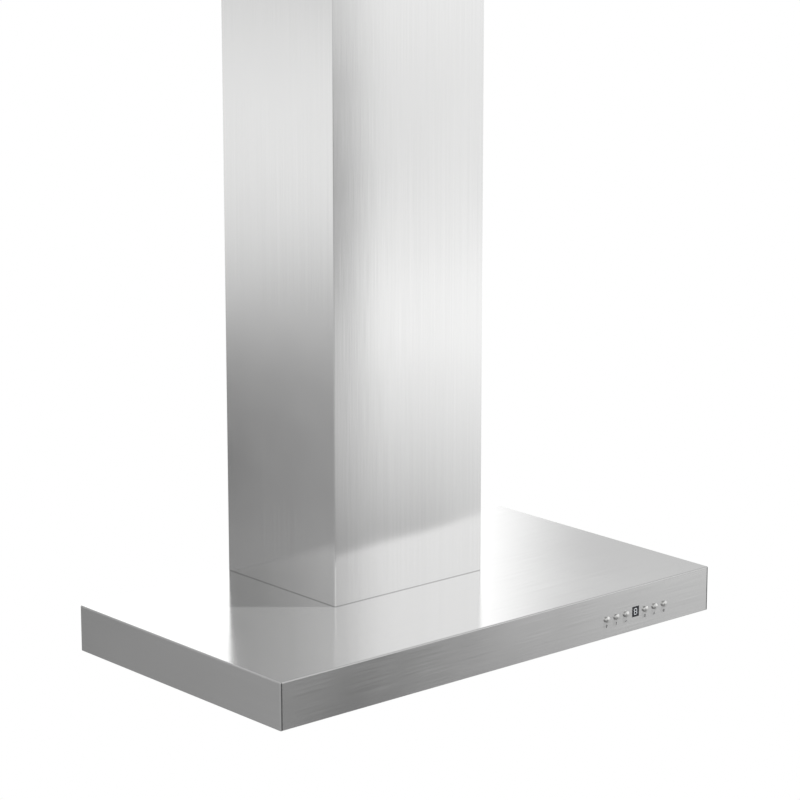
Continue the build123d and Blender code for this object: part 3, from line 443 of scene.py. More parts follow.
@dataclass(frozen=True)
class MillAluminium(Finish):
    """Rolled or pressed aluminium with soft drawing lines and a grey bloom."""

    name: str = "mill_aluminium"
    colour: Colour = (0.72, 0.73, 0.74)

    def fill(self, graph: Graph, shader: bpy.types.Node) -> None:
        """Drawing lines round Z, a grey bloom, and shallow bump."""
        at = graph.place()
        lines = graph.noise(graph.vector("MULTIPLY", at, (60.0, 60.0, 1500.0)), 1.0, 2.0)
        bloom = graph.noise(at, 45.0, 4.0, 0.6)
        grey = tuple(c * 0.8 for c in self.colour)
        self.set(
            graph, shader,
            Base_Color=graph.mix(graph.step(bloom, 0.35, 0.7), self.colour, grey),
            Metallic=1.0,
            Roughness=graph.step(lines * 0.5 + bloom * 0.5, 0.3, 0.7, 0.28, 0.44),
            Normal=graph.bump(lines, 0.00004, 0.4),
        )


@dataclass(frozen=True)
class Moulded(Finish):
    """Moulded plastic or rubber with a fine spark-eroded texture."""

    name: str = "moulded"
    colour: Colour = (0.03, 0.03, 0.033)
    roughness: float = 0.45
    texture: float = 1800.0
    depth: float = 0.00003

    def fill(self, graph: Graph, shader: bpy.types.Node) -> None:
        """Leathery grain in bump, and flow marks in shade and gloss."""
        at = graph.place()
        grain = graph.noise(at, self.texture, 2.0, 0.6)
        flow = graph.noise(at, 30.0, 3.0, 0.5)
        gloss = flow + (grain - 0.5) * 0.4
        light = tuple(min(1.0, c * 1.25 + 0.004) for c in self.colour)
        self.set(
            graph, shader,
            Base_Color=graph.mix(graph.step(flow, 0.3, 0.7), self.colour, light),
            Roughness=graph.step(gloss, 0.25, 0.75, self.roughness - 0.06, self.roughness + 0.08),
            Normal=graph.bump(grain, self.depth, 0.5),
        )


@dataclass(frozen=True)
class Enamel(Finish):
    """Sprayed paint with orange peel, for the motor's case."""

    name: str = "motor_enamel"
    colour: Colour = (0.055, 0.058, 0.062)

    def fill(self, graph: Graph, shader: bpy.types.Node) -> None:
        """Orange peel in bump, dust in the tone."""
        at = graph.place()
        peel = graph.noise(at, 420.0, 2.0, 0.45)
        dust = graph.noise(at, 26.0, 4.0, 0.6)
        dusty = tuple(c * 1.7 + 0.02 for c in self.colour)
        self.set(
            graph, shader,
            Base_Color=graph.mix(graph.step(dust, 0.45, 0.8), self.colour, dusty),
            Roughness=graph.step(dust, 0.3, 0.7, 0.3, 0.46),
            Coat_Weight=graph.step(dust, 0.4, 0.8, 0.35, 0.1),
            Normal=graph.bump(peel, 0.00005, 0.5),
        )


@dataclass(frozen=True)
class SolderMask(Finish):
    """Green circuit board: copper tracks show as lighter lines under the mask."""

    name: str = "circuit_board"
    colour: Colour = (0.012, 0.09, 0.035)

    def fill(self, graph: Graph, shader: bpy.types.Node) -> None:
        """Tracks from the borders of stretched square cells, with flecks of solder."""
        at = graph.place()
        x, _, z = graph.parts(at)
        tracks = graph.cells(graph.join(x * 420.0, 0.0, z * 700.0), 1.0, "DISTANCE_TO_EDGE")
        line = 1.0 - graph.step(tracks, 0.04, 0.1)
        pads = 1.0 - graph.step(graph.cells(at, 300.0), 0.12, 0.18)
        green = graph.mix(line, self.colour, (0.03, 0.2, 0.08))
        self.set(
            graph, shader,
            Base_Color=graph.mix(pads, green, (0.7, 0.69, 0.66)),
            Metallic=pads,
            Roughness=0.34,
            Normal=graph.bump(line + pads, 0.00004, 0.6),
        )


@dataclass(frozen=True)
class TintedWindow(Finish):
    """Smoked acrylic with a black printed back: glossy, with faint smears."""

    name: str = "smoked_window"

    def fill(self, graph: Graph, shader: bpy.types.Node) -> None:
        """Near black with soft smears in the gloss."""
        at = graph.place()
        smear = graph.noise(at, 260.0, 3.0, 0.6)
        self.set(
            graph, shader,
            Base_Color=graph.mix(smear, (0.006, 0.006, 0.008), (0.014, 0.014, 0.017)),
            Roughness=graph.step(smear, 0.3, 0.8, 0.08, 0.2),
            Specular_IOR_Level=0.3,
            Normal=graph.bump(smear, 0.00001, 0.3),
        )


@dataclass(frozen=True)
class FrostedGlass(Finish):
    """A lamp's frosted lens, glowing a little from the diodes behind it."""

    name: str = "frosted_lens"

    def fill(self, graph: Graph, shader: bpy.types.Node) -> None:
        """Pale sanded glass with a faint even glow."""
        at = graph.place()
        sanded = graph.noise(at, 2400.0, 2.0, 0.6)
        cloud = graph.noise(at, 90.0, 2.0)
        self.set(
            graph, shader,
            Base_Color=graph.mix(cloud, (0.80, 0.82, 0.82), (0.93, 0.94, 0.93)),
            Roughness=graph.step(sanded, 0.3, 0.7, 0.32, 0.5),
            Emission_Color=(1.0, 0.97, 0.92),
            Emission_Strength=0.12,
            Normal=graph.bump(sanded, 0.00003, 0.5),
        )


@dataclass(frozen=True)
class Ink(Finish):
    """Screen-printed ink or a lit segment, with the fine mesh of the screen in it."""

    name: str = "ink"
    colour: Colour = (0.06, 0.06, 0.065)
    glow: float = 0.0

    def fill(self, graph: Graph, shader: bpy.types.Node) -> None:
        """Ink with a fine mesh of the screen in shade and bump."""
        at = graph.place()
        mesh = graph.noise(at, 5200.0, 1.0)
        pale = tuple(min(1.0, c * 1.5 + 0.02) for c in self.colour)
        self.set(
            graph, shader,
            Base_Color=graph.mix(mesh, self.colour, pale),
            Roughness=graph.step(mesh, 0.3, 0.7, 0.4, 0.6),
            Emission_Color=self.colour,
            Emission_Strength=self.glow,
            Normal=graph.bump(mesh, 0.00001, 0.4),
        )


# ---------------- surfaces
class Surface:
    """Meshes from grids of points worked out as whole arrays."""

    @staticmethod
    def grid(points: np.ndarray, wrap: bool = False) -> Shape:
        """Turns a grid of points into vertices and four-sided faces.

        Args:
            points: an array of rows by columns by three, in metres.
            wrap: whether the last column joins the first.

        Returns:
            Vertices, and faces as vertex numbers: face (i, j) joins rows i and i + 1, columns j and j + 1.
        """
        rows, columns, _ = points.shape
        across = columns if wrap else columns - 1
        i, j = np.meshgrid(np.arange(rows - 1), np.arange(across), indexing="ij")
        k = (j + 1) % columns
        faces = np.stack([i * columns + j, i * columns + k, (i + 1) * columns + k, (i + 1) * columns + j], -1)
        return points.reshape(-1, 3), faces.reshape(-1, 4)

    @staticmethod
    def joined(pieces: Iterable[Shape]) -> Shape:
        """Several vertex and face arrays as one, with the face numbers moved on."""
        vertices, faces, count = [], [], 0
        for points, corners in pieces:
            vertices.append(points)
            faces.append(corners + count)
            count += len(points)
        return np.concatenate(vertices), np.concatenate(faces)

    @staticmethod
    def lathe(profile: np.ndarray, centre: Sequence[float], axis: str, steps: int = 72) -> Shape:
        """A profile turned about an axis.

        A point (r, h) becomes centre + h * axis + r * (cos a * u + sin a * v), with u, v and the axis a
        right-handed set, and a running once round.

        Args:
            profile: radius and height pairs in metres, from the axis back to the axis.
            centre: where height 0 is, in metres.
            axis: "x", "y" or "z", with a minus sign for the other way.
            steps: faces round the turn.

        Returns:
            Vertices and faces, closed at both poles.
        """
        sign = -1.0 if axis.startswith("-") else 1.0
        number = "xyz".index(axis[-1])
        along, u = np.eye(3)[number] * sign, np.eye(3)[(number + 1) % 3]
        v = np.cross(along, u)
        angle = np.linspace(0.0, 2.0 * np.pi, steps, endpoint=False)
        ring = np.cos(angle)[:, None] * u + np.sin(angle)[:, None] * v
        radius, height = profile[:, 0][:, None, None], profile[:, 1][:, None, None]
        points = np.asarray(centre) + height * along + radius * ring
        return Surface.grid(points, wrap=True)

    @staticmethod
    def piece(name: str, shape: Shape, finish: Finish, smooth: bool = True) -> bpy.types.Object:
        """Makes an object at the origin from vertices and faces.

        Doubled points are merged, which closes poles and seams, and faces are turned outwards.

        Args:
            name: the piece's name.
            shape: vertices in metres and faces.
            finish: what it is made of.
            smooth: whether it is shaded smooth, with edges over 35 degrees kept sharp.

        Returns:
            The new object.
        """
        vertices, faces = shape
        mesh = bpy.data.meshes.new(name)
        mesh.from_pydata(vertices.tolist(), [], faces.tolist())
        work = bmesh.new()
        work.from_mesh(mesh)
        bmesh.ops.remove_doubles(work, verts=work.verts, dist=1e-7)
        bmesh.ops.dissolve_degenerate(work, edges=work.edges, dist=1e-8)
        bmesh.ops.recalc_face_normals(work, faces=work.faces)
        work.to_mesh(mesh)
        work.free()
        mesh.materials.append(finish.material())
        if smooth:
            mesh.shade_smooth()
            mesh.set_sharp_from_angle(angle=math.radians(35.0))
        made = bpy.data.objects.new(name, mesh)
        show(made)
        return made


def show(made: bpy.types.Object) -> None:
    """Puts an object into the scene."""
    bpy.context.scene.collection.objects.link(made)


def corners(node: str) -> tuple[np.ndarray, np.ndarray]:
    """A CAD node's lowest and highest corner, in metres."""
    low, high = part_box(node)
    return np.array(low, float), np.array(high, float)


# ---------------- fasteners
@dataclass
class CrossScrews:
    """Domed screw heads with a cross recess, standing on one plane."""

    name: str
    node: str
    body: str
    places: np.ndarray
    outward: str
    radius: float = 3.75 * MM
    height: float = 1.55 * MM
    recess: float = 0.9 * MM
    finish: Finish = field(default_factory=PlatedSteel)

    def head(self, centre: np.ndarray) -> Shape:
        """One head.

        The height is h * sqrt(1 - 0.8 * (r / R)^2), less the recess times a mask that is 1 inside two crossed
        bars and falls to 0 over their flanks. A wall closes the rim to the plane.

        Args:
            centre: the middle of the head's seat.

        Returns:
            Vertices and faces.
        """
        rings, steps = 12, 32
        radius = np.linspace(0.0, 1.0, rings)[:, None]
        angle = np.linspace(0.0, 2.0 * np.pi, steps, endpoint=False)[None, :]
        u, v = radius * np.cos(angle), radius * np.sin(angle)
        bar_u = np.clip((0.15 - np.abs(u)) / 0.06, 0, 1) * np.clip((0.62 - np.abs(v)) / 0.2, 0, 1)
        bar_v = np.clip((0.15 - np.abs(v)) / 0.06, 0, 1) * np.clip((0.62 - np.abs(u)) / 0.2, 0, 1)
        rise = self.height * np.sqrt(1.0 - 0.8 * radius**2) - self.recess * np.maximum(bar_u, bar_v)
        u, v, rise = np.vstack([u, u[-1:]]), np.vstack([v, v[-1:]]), np.vstack([rise, np.zeros((1, steps))])
        number = "xyz".index(self.outward[-1])
        sign = -1.0 if self.outward.startswith("-") else 1.0
        axis, side = np.eye(3)[number] * sign, np.eye(3)[(number + 1) % 3]
        other = np.cross(axis, side)
        points = centre + self.radius * (u[..., None] * side + v[..., None] * other) + rise[..., None] * axis
        return Surface.grid(points, wrap=True)

    def build(self) -> bpy.types.Object:
        """All the heads as one piece, attached to the body."""
        heads = Surface.joined(self.head(place) for place in self.places)
        made = Surface.piece(self.name, heads, self.finish)
        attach(made, self.body)
        return made


# ---------------- sub-assemblies
@dataclass
class Chimney:
    """The two sections of the square chimney, with the screws in their back panels."""

    head_radius: float = 3.8 * MM
    rows: int = 5
    # Painted shadow line along the panels' foot, at z = -1.256 m, where the chimney meets the canopy.
    steel: SatinSteel = field(default_factory=lambda: SatinSteel(
        name="satin_steel_chimney", grain=Grain.UPRIGHT, across=0.012, bow=0.055, bow_reach=0.15,
        foot=-1.256))

    def dress(self) -> None:
        """Upright grain on all four panels."""
        self.steel.put_on("lower_cover_front", "lower_cover_back", "upper_cover_front", "upper_cover_back")

    def build(self) -> list[bpy.types.Object]:
        """The screw heads down both back edges.

        Returns:
            The new pieces.
        """
        low, high = corners("lower_cover_screws")
        column = np.linspace(low[2] + self.head_radius, high[2] - self.head_radius, self.rows)
        back = corners("lower_cover_back")[1][1]
        sides = (low[0] + self.head_radius, high[0] - self.head_radius)
        places = np.array([(x, back, z) for x in sides for z in column])
        heads = CrossScrews("back_panel_screws", "lower_cover_screws", "hood", places, "y").build()
        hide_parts("lower_cover_screws")
        return [heads]


@dataclass
class CeilingFrame:
    """The ceiling plate, the nested angle frames and the bolts that clamp them."""

    zinc: ZincSheet = field(default_factory=ZincSheet)
    plated: PlatedSteel = field(default_factory=PlatedSteel)

    def dress(self) -> None:
        """Galvanised frame, plated bolts."""
        self.zinc.put_on("ceiling_plate", "upper_frame_left", "upper_frame_right")
        self.zinc.put_on("lower_frame_left", "lower_frame_right", "base_bracket")
        self.plated.put_on("frame_bolts", "upper_fasteners")


@dataclass
class Canopy:
    """The folded canopy, the liner under it and their screws."""

    # Painted shade on the canopy: its level top darkened to 0.72, its top folds to 0.58, and a painted shadow
    # line in the corner seams at |x| = 0.4475 m.
    steel: SatinSteel = field(default_factory=lambda: SatinSteel(
        name="satin_steel_canopy", across=0.012, top_painted_shade=0.72, seam_x=0.4475, fold=0.58))
    liner: SatinSteel = field(default_factory=lambda: SatinSteel(
        name="satin_steel_liner", roughness=0.2, across=0.08))

    def dress(self) -> None:
        """Lengthwise grain on the shell and the liner."""
        self.steel.put_on("canopy_shell")
        self.liner.put_on("liner_pan")
        PlatedSteel().put_on("canopy_screws")


@dataclass
class Blower:
    """The blower box, scroll, wheel and motor, and the collar on top."""

    def dress(self) -> None:
        """Galvanised sheet, aluminium wheel and collar, painted motor."""
        ZincSheet().put_on("blower_box", "blower_scroll", "motor_bracket")
        ZincSheet().put_on("inlet_ring_front", "inlet_ring_back")
        MillAluminium().put_on("impeller", "duct_collar", "damper_flap_left", "damper_flap_right")
        PlatedSteel().put_on("motor_shaft", "damper_pin")
        Enamel().put_on("motor")


@dataclass
class Electrics:
    """The junction box, capacitor, power supply and control cable."""

    def dress(self) -> None:
        """Galvanised box, pale plastic supply, rubber grommet, aluminium can, black cable."""
        ZincSheet().put_on("junction_box", "junction_box_lid")
        MillAluminium(name="capacitor_can", colour=(0.66, 0.67, 0.69)).put_on("capacitor")
        Moulded(name="pale_plastic", colour=(0.62, 0.62, 0.60), roughness=0.5).put_on("power_supply")
        Moulded(name="grommet_rubber", colour=(0.02, 0.02, 0.02), roughness=0.7).put_on("cable_grommet")
        Moulded(name="cable_jacket", colour=(0.022, 0.022, 0.024), roughness=0.4).put_on("control_cable")


class Mark(enum.Enum):
    """The small printed symbols under the push buttons, as strokes in a unit square."""

    LAMP = "lamp"
    BAR = "bar"
    DOTS = "dots"
    RING = "ring"
    TRIANGLE = "triangle"
    DIAL = "dial"


@dataclass
class Controls:
    """Six push buttons, the display between them and the printed marks under them."""

    cap_radius: float = 5.0 * MM
    edge_round: float = 0.9 * MM
    sheet: float = 1.2 * MM
    collar_radius: float = 6.5 * MM
    collar_height: float = 1.4 * MM
    stem_radius: float = 3.0 * MM
    mark_size: float = 4.8 * MM
    mark_drop: float = 11.6 * MM
    mark_line: float = 0.9 * MM
    ink_height: float = 0.03 * MM
    digit_width: float = 5.6 * MM
    digit_height: float = 9.6 * MM
    stroke: float = 0.9 * MM
    steel: PlatedSteel = field(default_factory=lambda: PlatedSteel(
        name="button_steel", colour=(0.72, 0.72, 0.71), roughness=0.17))
    ink: Ink = field(default_factory=lambda: Ink(name="symbol_ink", colour=(0.03, 0.03, 0.032)))
    lit: Ink = field(default_factory=lambda: Ink(name="lit_segment", colour=(0.33, 0.34, 0.35), glow=0.1))

    def dress(self) -> None:
        """Plastic housing and display case, circuit board, smoked window."""
        Moulded(name="black_plastic").put_on("button_housing", "display_module")
        SolderMask().put_on("control_board")
        TintedWindow().put_on("display_window")

    def front(self) -> float:
        """The y of the canopy's front face."""
        return float(corners("canopy_shell")[0][1])

    def button(self, number: int) -> bpy.types.Object:
        """One turned button: crowned face with a shallow ring, rounded rim, collar behind the panel and stem.

        The profile is the crown 0.5 mm * (r / R)^2, a ring groove, a quarter-round rim, the straight cap, the
        collar and the stem, turned about Y.

        Args:
            number: which button, from 1.

        Returns:
            The new piece.
        """
        low, high = corners(f"button_{number}")
        centre = ((low[0] + high[0]) / 2, low[1], (low[2] + high[2]) / 2)
        r, e = self.cap_radius, self.edge_round
        crown = np.linspace(0.0, r - e, 12)
        face = np.stack([crown, 0.5 * MM * (crown / r) ** 2], 1)
        groove = 0.12 * MM * np.exp(-(((crown - 0.62 * r) / (0.25 * MM)) ** 2))
        face[:, 1] += groove
        turn = np.linspace(0.0, np.pi / 2, 10)[1:]
        start = face[-1, 1]
        rim = np.stack([r - e + e * np.sin(turn), start + e - e * np.cos(turn)], 1)
        depth = high[1] - low[1]
        near = self.front() + self.sheet + 0.1 * MM - low[1]
        far = near + self.collar_height
        back = [(r, near), (self.collar_radius, near), (self.collar_radius, far),
                (self.stem_radius, far), (self.stem_radius, depth), (0.0, depth)]
        profile = np.concatenate([face, rim, np.array(back)])
        made = Surface.piece(f"push_button_{number}", Surface.lathe(profile, centre, "y", 72), self.steel)
        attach(made, f"button_{number}")
        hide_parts(f"button_{number}")
        return made

    def ribbon(self, path: np.ndarray, width: float, closed: bool = False) -> Shape:
        """A flat printed line along a path in the panel's plane.

        Each point is moved half a width to either side, along the path's own perpendicular.

        Args:
            path: x and z pairs in metres.
            width: the line's width.
            closed: whether the path returns to its start.

        Returns:
            Vertices and faces, a little proud of the panel.
        """
        points = np.vstack([path, path[:1]]) if closed else path
        run = np.gradient(points, axis=0)
        run /= np.linalg.norm(run, axis=1, keepdims=True) + 1e-12
        side = np.stack([-run[:, 1], run[:, 0]], 1) * width / 2
        y = self.front()
        top = [np.insert(points + s, 1, y - self.ink_height, axis=1) for s in (side, -side)]
        foot = [np.insert(points + s, 1, y, axis=1) for s in (-side, side)]
        return Surface.grid(np.stack([top[0], top[1], foot[0], foot[1], top[0]]))

    def strokes(self, mark: Mark) -> list[tuple[np.ndarray, bool]]:
        """The paths of one mark in a unit square centred on 0.

        Args:
            mark: which mark.

        Returns:
            Paths, and whether each is closed.
        """
        turn = np.linspace(0.0, 2 * np.pi, 25)[:-1]
        circle = np.stack([np.cos(turn), np.sin(turn)], 1)
        line = np.linspace(-0.5, 0.5, 5)
        flat = np.stack([line, np.zeros(5)], 1)
        upright = flat[:, ::-1]
        if mark is Mark.LAMP:
            return [(circle * 0.28 + (0.0, 0.18), True), (flat * 0.3 + (0.0, -0.28), False),
                    (flat * 0.22 + (0.0, -0.44), False)]
        if mark is Mark.BAR:
            return [(upright * 0.9, False), (flat * 0.36 + (0.0, 0.45), False)]
        if mark is Mark.DOTS:
            return [(circle * 0.11 + (x, 0.0), True) for x in (-0.3, 0.3)]
        if mark is Mark.RING:
            return [(circle * 0.36, True), (upright * 0.4 + (0.0, 0.3), False)]
        if mark is Mark.TRIANGLE:
            return [(np.array([(-0.36, -0.34), (0.36, -0.34), (0.0, 0.36)]), True)]
        return [(circle * 0.36, True), (flat * 0.36, False)]

    def marks(self) -> bpy.types.Object:
        """All six printed marks as one piece."""
        shapes = []
        for number, mark in enumerate(Mark, start=1):
            low, high = corners(f"button_{number}")
            centre = np.array([(low[0] + high[0]) / 2, (low[2] + high[2]) / 2 - self.mark_drop])
            for path, closed in self.strokes(mark):
                shapes.append(self.ribbon(path * self.mark_size + centre, self.mark_line, closed))
        made = Surface.piece("button_symbols", Surface.joined(shapes), self.ink, smooth=False)
        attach(made, "hood")
        return made

    def digit(self) -> bpy.types.Object:
        """The figure on the display: seven segments, all lit, each a flat bar with pointed ends.

        Returns:
            The new piece.
        """
        low, high = corners("display_window")
        y = low[1]
        x0, z0 = (low[0] + high[0]) / 2, (low[2] + high[2]) / 2
        w, h, s = self.digit_width / 2, self.digit_height / 2, self.stroke / 2
        bars = [((-w, z), (w, z)) for z in (-h, 0.0, h)]
        bars += [((x, z), (x, z + h)) for x in (-w, w) for z in (-h, 0.0)]
        shapes = []
        for (ax, az), (bx, bz) in bars:
            run = np.array([bx - ax, bz - az])
            run /= np.linalg.norm(run)
            side = np.array([-run[1], run[0]])
            a, b = np.array([ax, az]) + run * s * 0.5, np.array([bx, bz]) - run * s * 0.5
            outline = np.array([a, a + (run + side) * s, b + (side - run) * s])
            outline = np.vstack([outline, [b, b - (run + side) * s, a + (run - side) * s]])
            front = np.insert(outline + (x0, z0), 1, y - self.ink_height, axis=1)
            back = front + (0.0, self.ink_height, 0.0)
            middle = front.mean(0, keepdims=True)
            points = np.stack([np.repeat(middle, 6, 0), front, back])
            shapes.append(Surface.grid(points, wrap=True))
        made = Surface.piece("display_digit", Surface.joined(shapes), self.lit, smooth=False)
        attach(made, "hood")
        return made

    def build(self) -> list[bpy.types.Object]:
        """Buttons, marks and digit."""
        return [*(self.button(number) for number in range(1, 7)), self.marks(), self.digit()]


@dataclass
class Lamps:
    """Four round lamps let into the liner."""

    rings: int = 7
    ring_depth: float = 0.22 * MM

    def dress(self) -> None:
        """Bright turned housings."""
        bright = PlatedSteel(name="lamp_bezel", colour=(0.72, 0.72, 0.71), roughness=0.24, marks=1500.0)
        bright.put_on(*(f"lamp_housing_{number}" for number in range(1, 5)))

    def lens(self, number: int) -> bpy.types.Object:
        """One pressed lens: rings of height depth * |sin(pi * rings * r / R)| on a disc with a round rim.

        Args:
            number: which lamp, from 1.

        Returns:
            The new piece.
        """
        low, high = corners(f"lamp_lens_{number}")
        radius, height = (high[0] - low[0]) / 2, high[2] - low[2]
        r = np.linspace(0.0, radius * 0.94, 85)
        wave = self.ring_depth * np.abs(np.sin(np.pi * self.rings * r / (radius * 0.94)))
        face = np.stack([r, height - self.ring_depth + wave], 1)
        rim = np.array([(radius * 0.99, height * 0.85), (radius, height * 0.6), (radius, 0.0), (0.0, 0.0)])
        centre = ((low[0] + high[0]) / 2, (low[1] + high[1]) / 2, high[2])
        shape = Surface.lathe(np.concatenate([face, rim]), centre, "-z", 96)
        made = Surface.piece(f"lamp_glass_{number}", shape, FrostedGlass())
        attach(made, "hood")
        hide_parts(f"lamp_lens_{number}")
        return made

    def build(self) -> list[bpy.types.Object]:
        """The four lenses."""
        return [self.lens(number) for number in range(1, 5)]


@dataclass
class Filters:
    """Two baffle filters with bail handles, and the clips that hold them."""

    frame_steel: SatinSteel = field(default_factory=lambda: SatinSteel(
        name="satin_steel_filter", roughness=0.22, across=0.06, colour=(0.60, 0.60, 0.595)))
    slat_steel: SatinSteel = field(default_factory=lambda: SatinSteel(
        name="satin_steel_slats", grain=Grain.FRONT_TO_BACK, roughness=0.22, across=0.06,
        colour=(0.60, 0.60, 0.595)))

    def dress(self) -> None:
        """Satin frames and slats, bright handles, blued spring clips."""
        self.frame_steel.put_on("filter_frame_left", "filter_frame_right")
        self.slat_steel.put_on("filter_baffles_left", "filter_baffles_right")
        PlatedSteel(name="handle_wire", colour=(0.74, 0.74, 0.73), roughness=0.16).put_on(
            "filter_handle_left", "filter_handle_right")
        PlatedSteel(name="spring_strip", colour=(0.42, 0.43, 0.47), roughness=0.3).put_on("filter_clips")


# ---------------- studio
@dataclass
class Studio:
    """A pale floor, soft light from all round and the camera."""

    floor_drop: float = 1.65
    floor_radius: float = 3.0
    overhead: float = 0.68
    lens: float = 131.0
    sensor: float = 36.0
    clip_end: float = 60.0
    azimuth: float = -41.105
    elevation: float = 13.228
    aim_x: float = -0.0016
    aim_y: float = 0.0014
    aim_height: float = 0.3794
    distance: float = 4.598
    key_energy: float = 15.5
    key_from: Colour = (0.7535, -0.657, 2.1)
    key_spread: float = 2.0

    def floor(self) -> bpy.types.Object:
        """A round pale floor that can't be seen from below."""
        low, high = corners("canopy_shell")
        radius = np.linspace(0.0, self.floor_radius, 12)[:, None]
        angle = np.linspace(0.0, 2 * np.pi, 96, endpoint=False)[None, :]
        level = np.full((12, 96), low[2] - self.floor_drop)
        centre = (low + high) / 2
        points = np.stack([centre[0] + radius * np.cos(angle), centre[1] + radius * np.sin(angle), level], -1)
        vertices, faces = Surface.grid(points, wrap=True)
        mesh = bpy.data.meshes.new("floor")
        mesh.from_pydata(vertices.tolist(), [], faces.tolist())
        material = bpy.data.materials.new("floor")
        material.use_nodes = True
        graph = Graph(material.node_tree)
        plaster = graph.noise(graph.place(), 3.0, 3.0)
        paint = graph.mix(plaster, (0.80, 0.80, 0.80), (0.84, 0.84, 0.835))
        pale = graph.node("ShaderNodeBsdfDiffuse", None, {"Color": paint})
        clear = graph.node("ShaderNodeBsdfTransparent")
        behind = graph.out(graph.node("ShaderNodeNewGeometry"), "Backfacing")
        both = graph.node("ShaderNodeMixShader", None, {0: behind, 1: graph.out(pale), 2: graph.out(clear)})
        output = graph.node("ShaderNodeOutputMaterial")
        material.node_tree.links.new(both.outputs[0], output.inputs[0])
        mesh.materials.append(material)
        made = bpy.data.objects.new("floor", mesh)
        show(made)
        return made

    def low_light(self, graph: Graph, turn: Value, height: Value) -> Value:
        """The room below the horizon, where the upright panels mirror it.

        To the rear left a bright wall stands on a darker floor. To the front right the wall is brighter and
        reaches lower, the floor brightens towards the right, and the wall darkens towards the front.

        Args:
            graph: the world's graph.
            turn: degrees from -Y towards +X.
            height: the direction's z.

        Returns:
            The light from there.
        """
        left = graph.step(height, -0.24, -0.15, 0.27, 1.28) - graph.step(height, -0.13, -0.07, 0.0, 0.42)
        left = left + graph.step(height, -0.275, -0.25, 0.12, 0.0)
        left = left + graph.step(turn, -143.4, -140.2, -0.07, 0.07) * (1.0 - graph.step(height, -0.24, -0.19))
        floor = graph.step(turn, 38.8, 48.4, 0.07, 0.60) + graph.step(turn, 36.5, 39.8, 0.25, 0.0)
        wall = graph.step(height, -0.25, -0.205, 1.0, 1.42) - graph.step(height, -0.20, -0.15, 0.0, 0.34)
        wall = wall + graph.step(height, -0.13, -0.09, 0.0, 0.16)
        dark = 0.26 + graph.step(height, -0.15, -0.09, 0.0, 0.46)
        dark = dark + graph.step(height, -0.245, -0.15, 0.36, 0.0) - graph.step(height, -0.285, -0.25, 0.4, 0.0)
        side = graph.step(turn, 33.0, 40.6)
        rise = graph.step(height, -0.318, -0.235)
        right = floor * (1.0 - rise) + wall * (dark * (1.0 - side) + side) * rise
        front = 1.0 - graph.step(abs(turn - 41.0), 60.0, 110.0)
        return left * (1.0 - front) + right * front

    def high_light(self, graph: Graph, turn: Value, height: Value) -> Value:
        """The room above the horizon, where the canopy's top mirrors it: a bright front right and rear.

        Args:
            graph: the world's graph.
            turn: degrees from -Y towards +X.
            height: the direction's z.

        Returns:
            The light from there.
        """
        front = graph.step(turn, -40.0, 20.0) * (1.0 - graph.step(turn, 75.0, 100.0))
        front = front * 0.74 - graph.step(turn, 20.0, 33.0) * graph.step(turn, 33.0, 40.6, 1.0, 0.0)
        side = graph.step(turn, 75.0, 100.0) * (graph.step(height, 0.272, 0.302, 0.0, 0.12) - 0.37)
        rear = graph.step(turn, 134.9, 138.15) * 1.24 - graph.step(turn, 150.0, 180.0) * 0.5
        left = graph.step(turn, -142.0, -140.0, -0.55, 0.25) * graph.step(turn, -150.0, -142.2)
        return front + side + rear + left + 0.9

    def world(self) -> None:
        """Soft light from all round, white where the camera looks past the hood."""
        world = bpy.data.worlds.new("studio")
        world.use_nodes = True
        bpy.context.scene.world = world
        graph = Graph(world.node_tree)
        ray = graph.out(graph.node("ShaderNodeTexCoord"), "Generated")
        x, y, height = graph.parts(ray)
        turn = graph.math("ARCTAN2", x, -y) * (180.0 / math.pi)
        up = graph.step(height, -0.03, 0.12)
        overhead = graph.step(height, 0.34, 0.5)
        high = self.high_light(graph, turn, height) * (1.0 - overhead) + overhead * self.overhead
        light = self.low_light(graph, turn, height) * (1.0 - up) + high * up
        tone = graph.join(light, light, light)
        seen = graph.out(graph.node("ShaderNodeLightPath"), "Is Camera Ray")
        shown = graph.mix(seen, tone, (1.0, 1.0, 1.0))
        background = graph.node("ShaderNodeBackground", None, {"Color": shown, "Strength": 1.0})
        output = graph.node("ShaderNodeOutputWorld")
        world.node_tree.links.new(background.outputs[0], output.inputs[0])

    def key(self) -> None:
        """One key light from the front right, which shades the canopy behind the chimney."""
        light = bpy.data.lights.new("key", "SUN")
        light.energy = self.key_energy
        light.angle = math.radians(self.key_spread)
        made = bpy.data.objects.new("key", light)
        made.rotation_mode = "QUATERNION"
        towards = Vector(self.key_from).normalized()
        made.rotation_quaternion = towards.to_track_quat("Z", "Y")
        made.visible_glossy = False
        show(made)

    def camera(self) -> None:
        """The camera, aimed at a point on the upright line through the canopy's middle."""
        low, high = corners("canopy_shell")
        middle = (low + high) / 2
        aim = Vector((middle[0] + self.aim_x, middle[1] + self.aim_y, low[2] + self.aim_height))
        a, e = math.radians(self.azimuth), math.radians(self.elevation)
        back = Vector((math.sin(a) * math.cos(e), -math.cos(a) * math.cos(e), math.sin(e)))
        data = bpy.data.cameras.new("camera")
        data.lens = self.lens
        data.sensor_width = self.sensor
        data.clip_end = self.clip_end
        made = bpy.data.objects.new("camera", data)
        made.location = aim + back * self.distance
        made.rotation_mode = "QUATERNION"
        made.rotation_quaternion = (-back).to_track_quat("-Z", "Y")
        show(made)
        bpy.context.scene.camera = made

    def build(self) -> None:
        """Camera, floor and lights, with plain colour handling."""
        bpy.context.scene.view_settings.view_transform = "Standard"
        self.camera()
        self.floor()
        self.world()
        self.key()


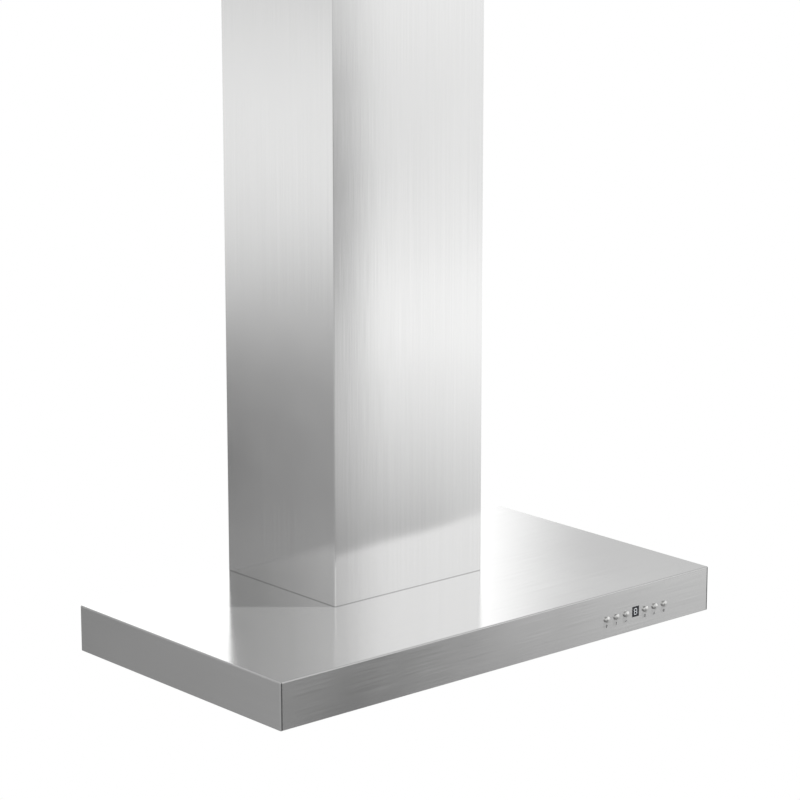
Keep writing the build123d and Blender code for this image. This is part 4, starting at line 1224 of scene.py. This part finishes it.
def report(pieces: Iterable[bpy.types.Object]) -> None:
    """Logs each new piece with its size."""
    for piece in pieces:
        LOG.info("%s: %d faces", piece.name, len(piece.data.polygons))


def main() -> None:
    """Builds the studio and each sub-assembly in order."""
    logging.basicConfig(level=logging.INFO, format="%(name)s %(message)s")
    Studio().build()
    assemblies = (CeilingFrame(), Chimney(), Canopy(), Blower(), Electrics(), Controls(), Lamps(), Filters())
    for assembly in assemblies:
        assembly.dress()
        if hasattr(assembly, "build"):
            report(assembly.build())
        LOG.info("%s done", type(assembly).__name__)


if __name__ == "__main__":
    main()
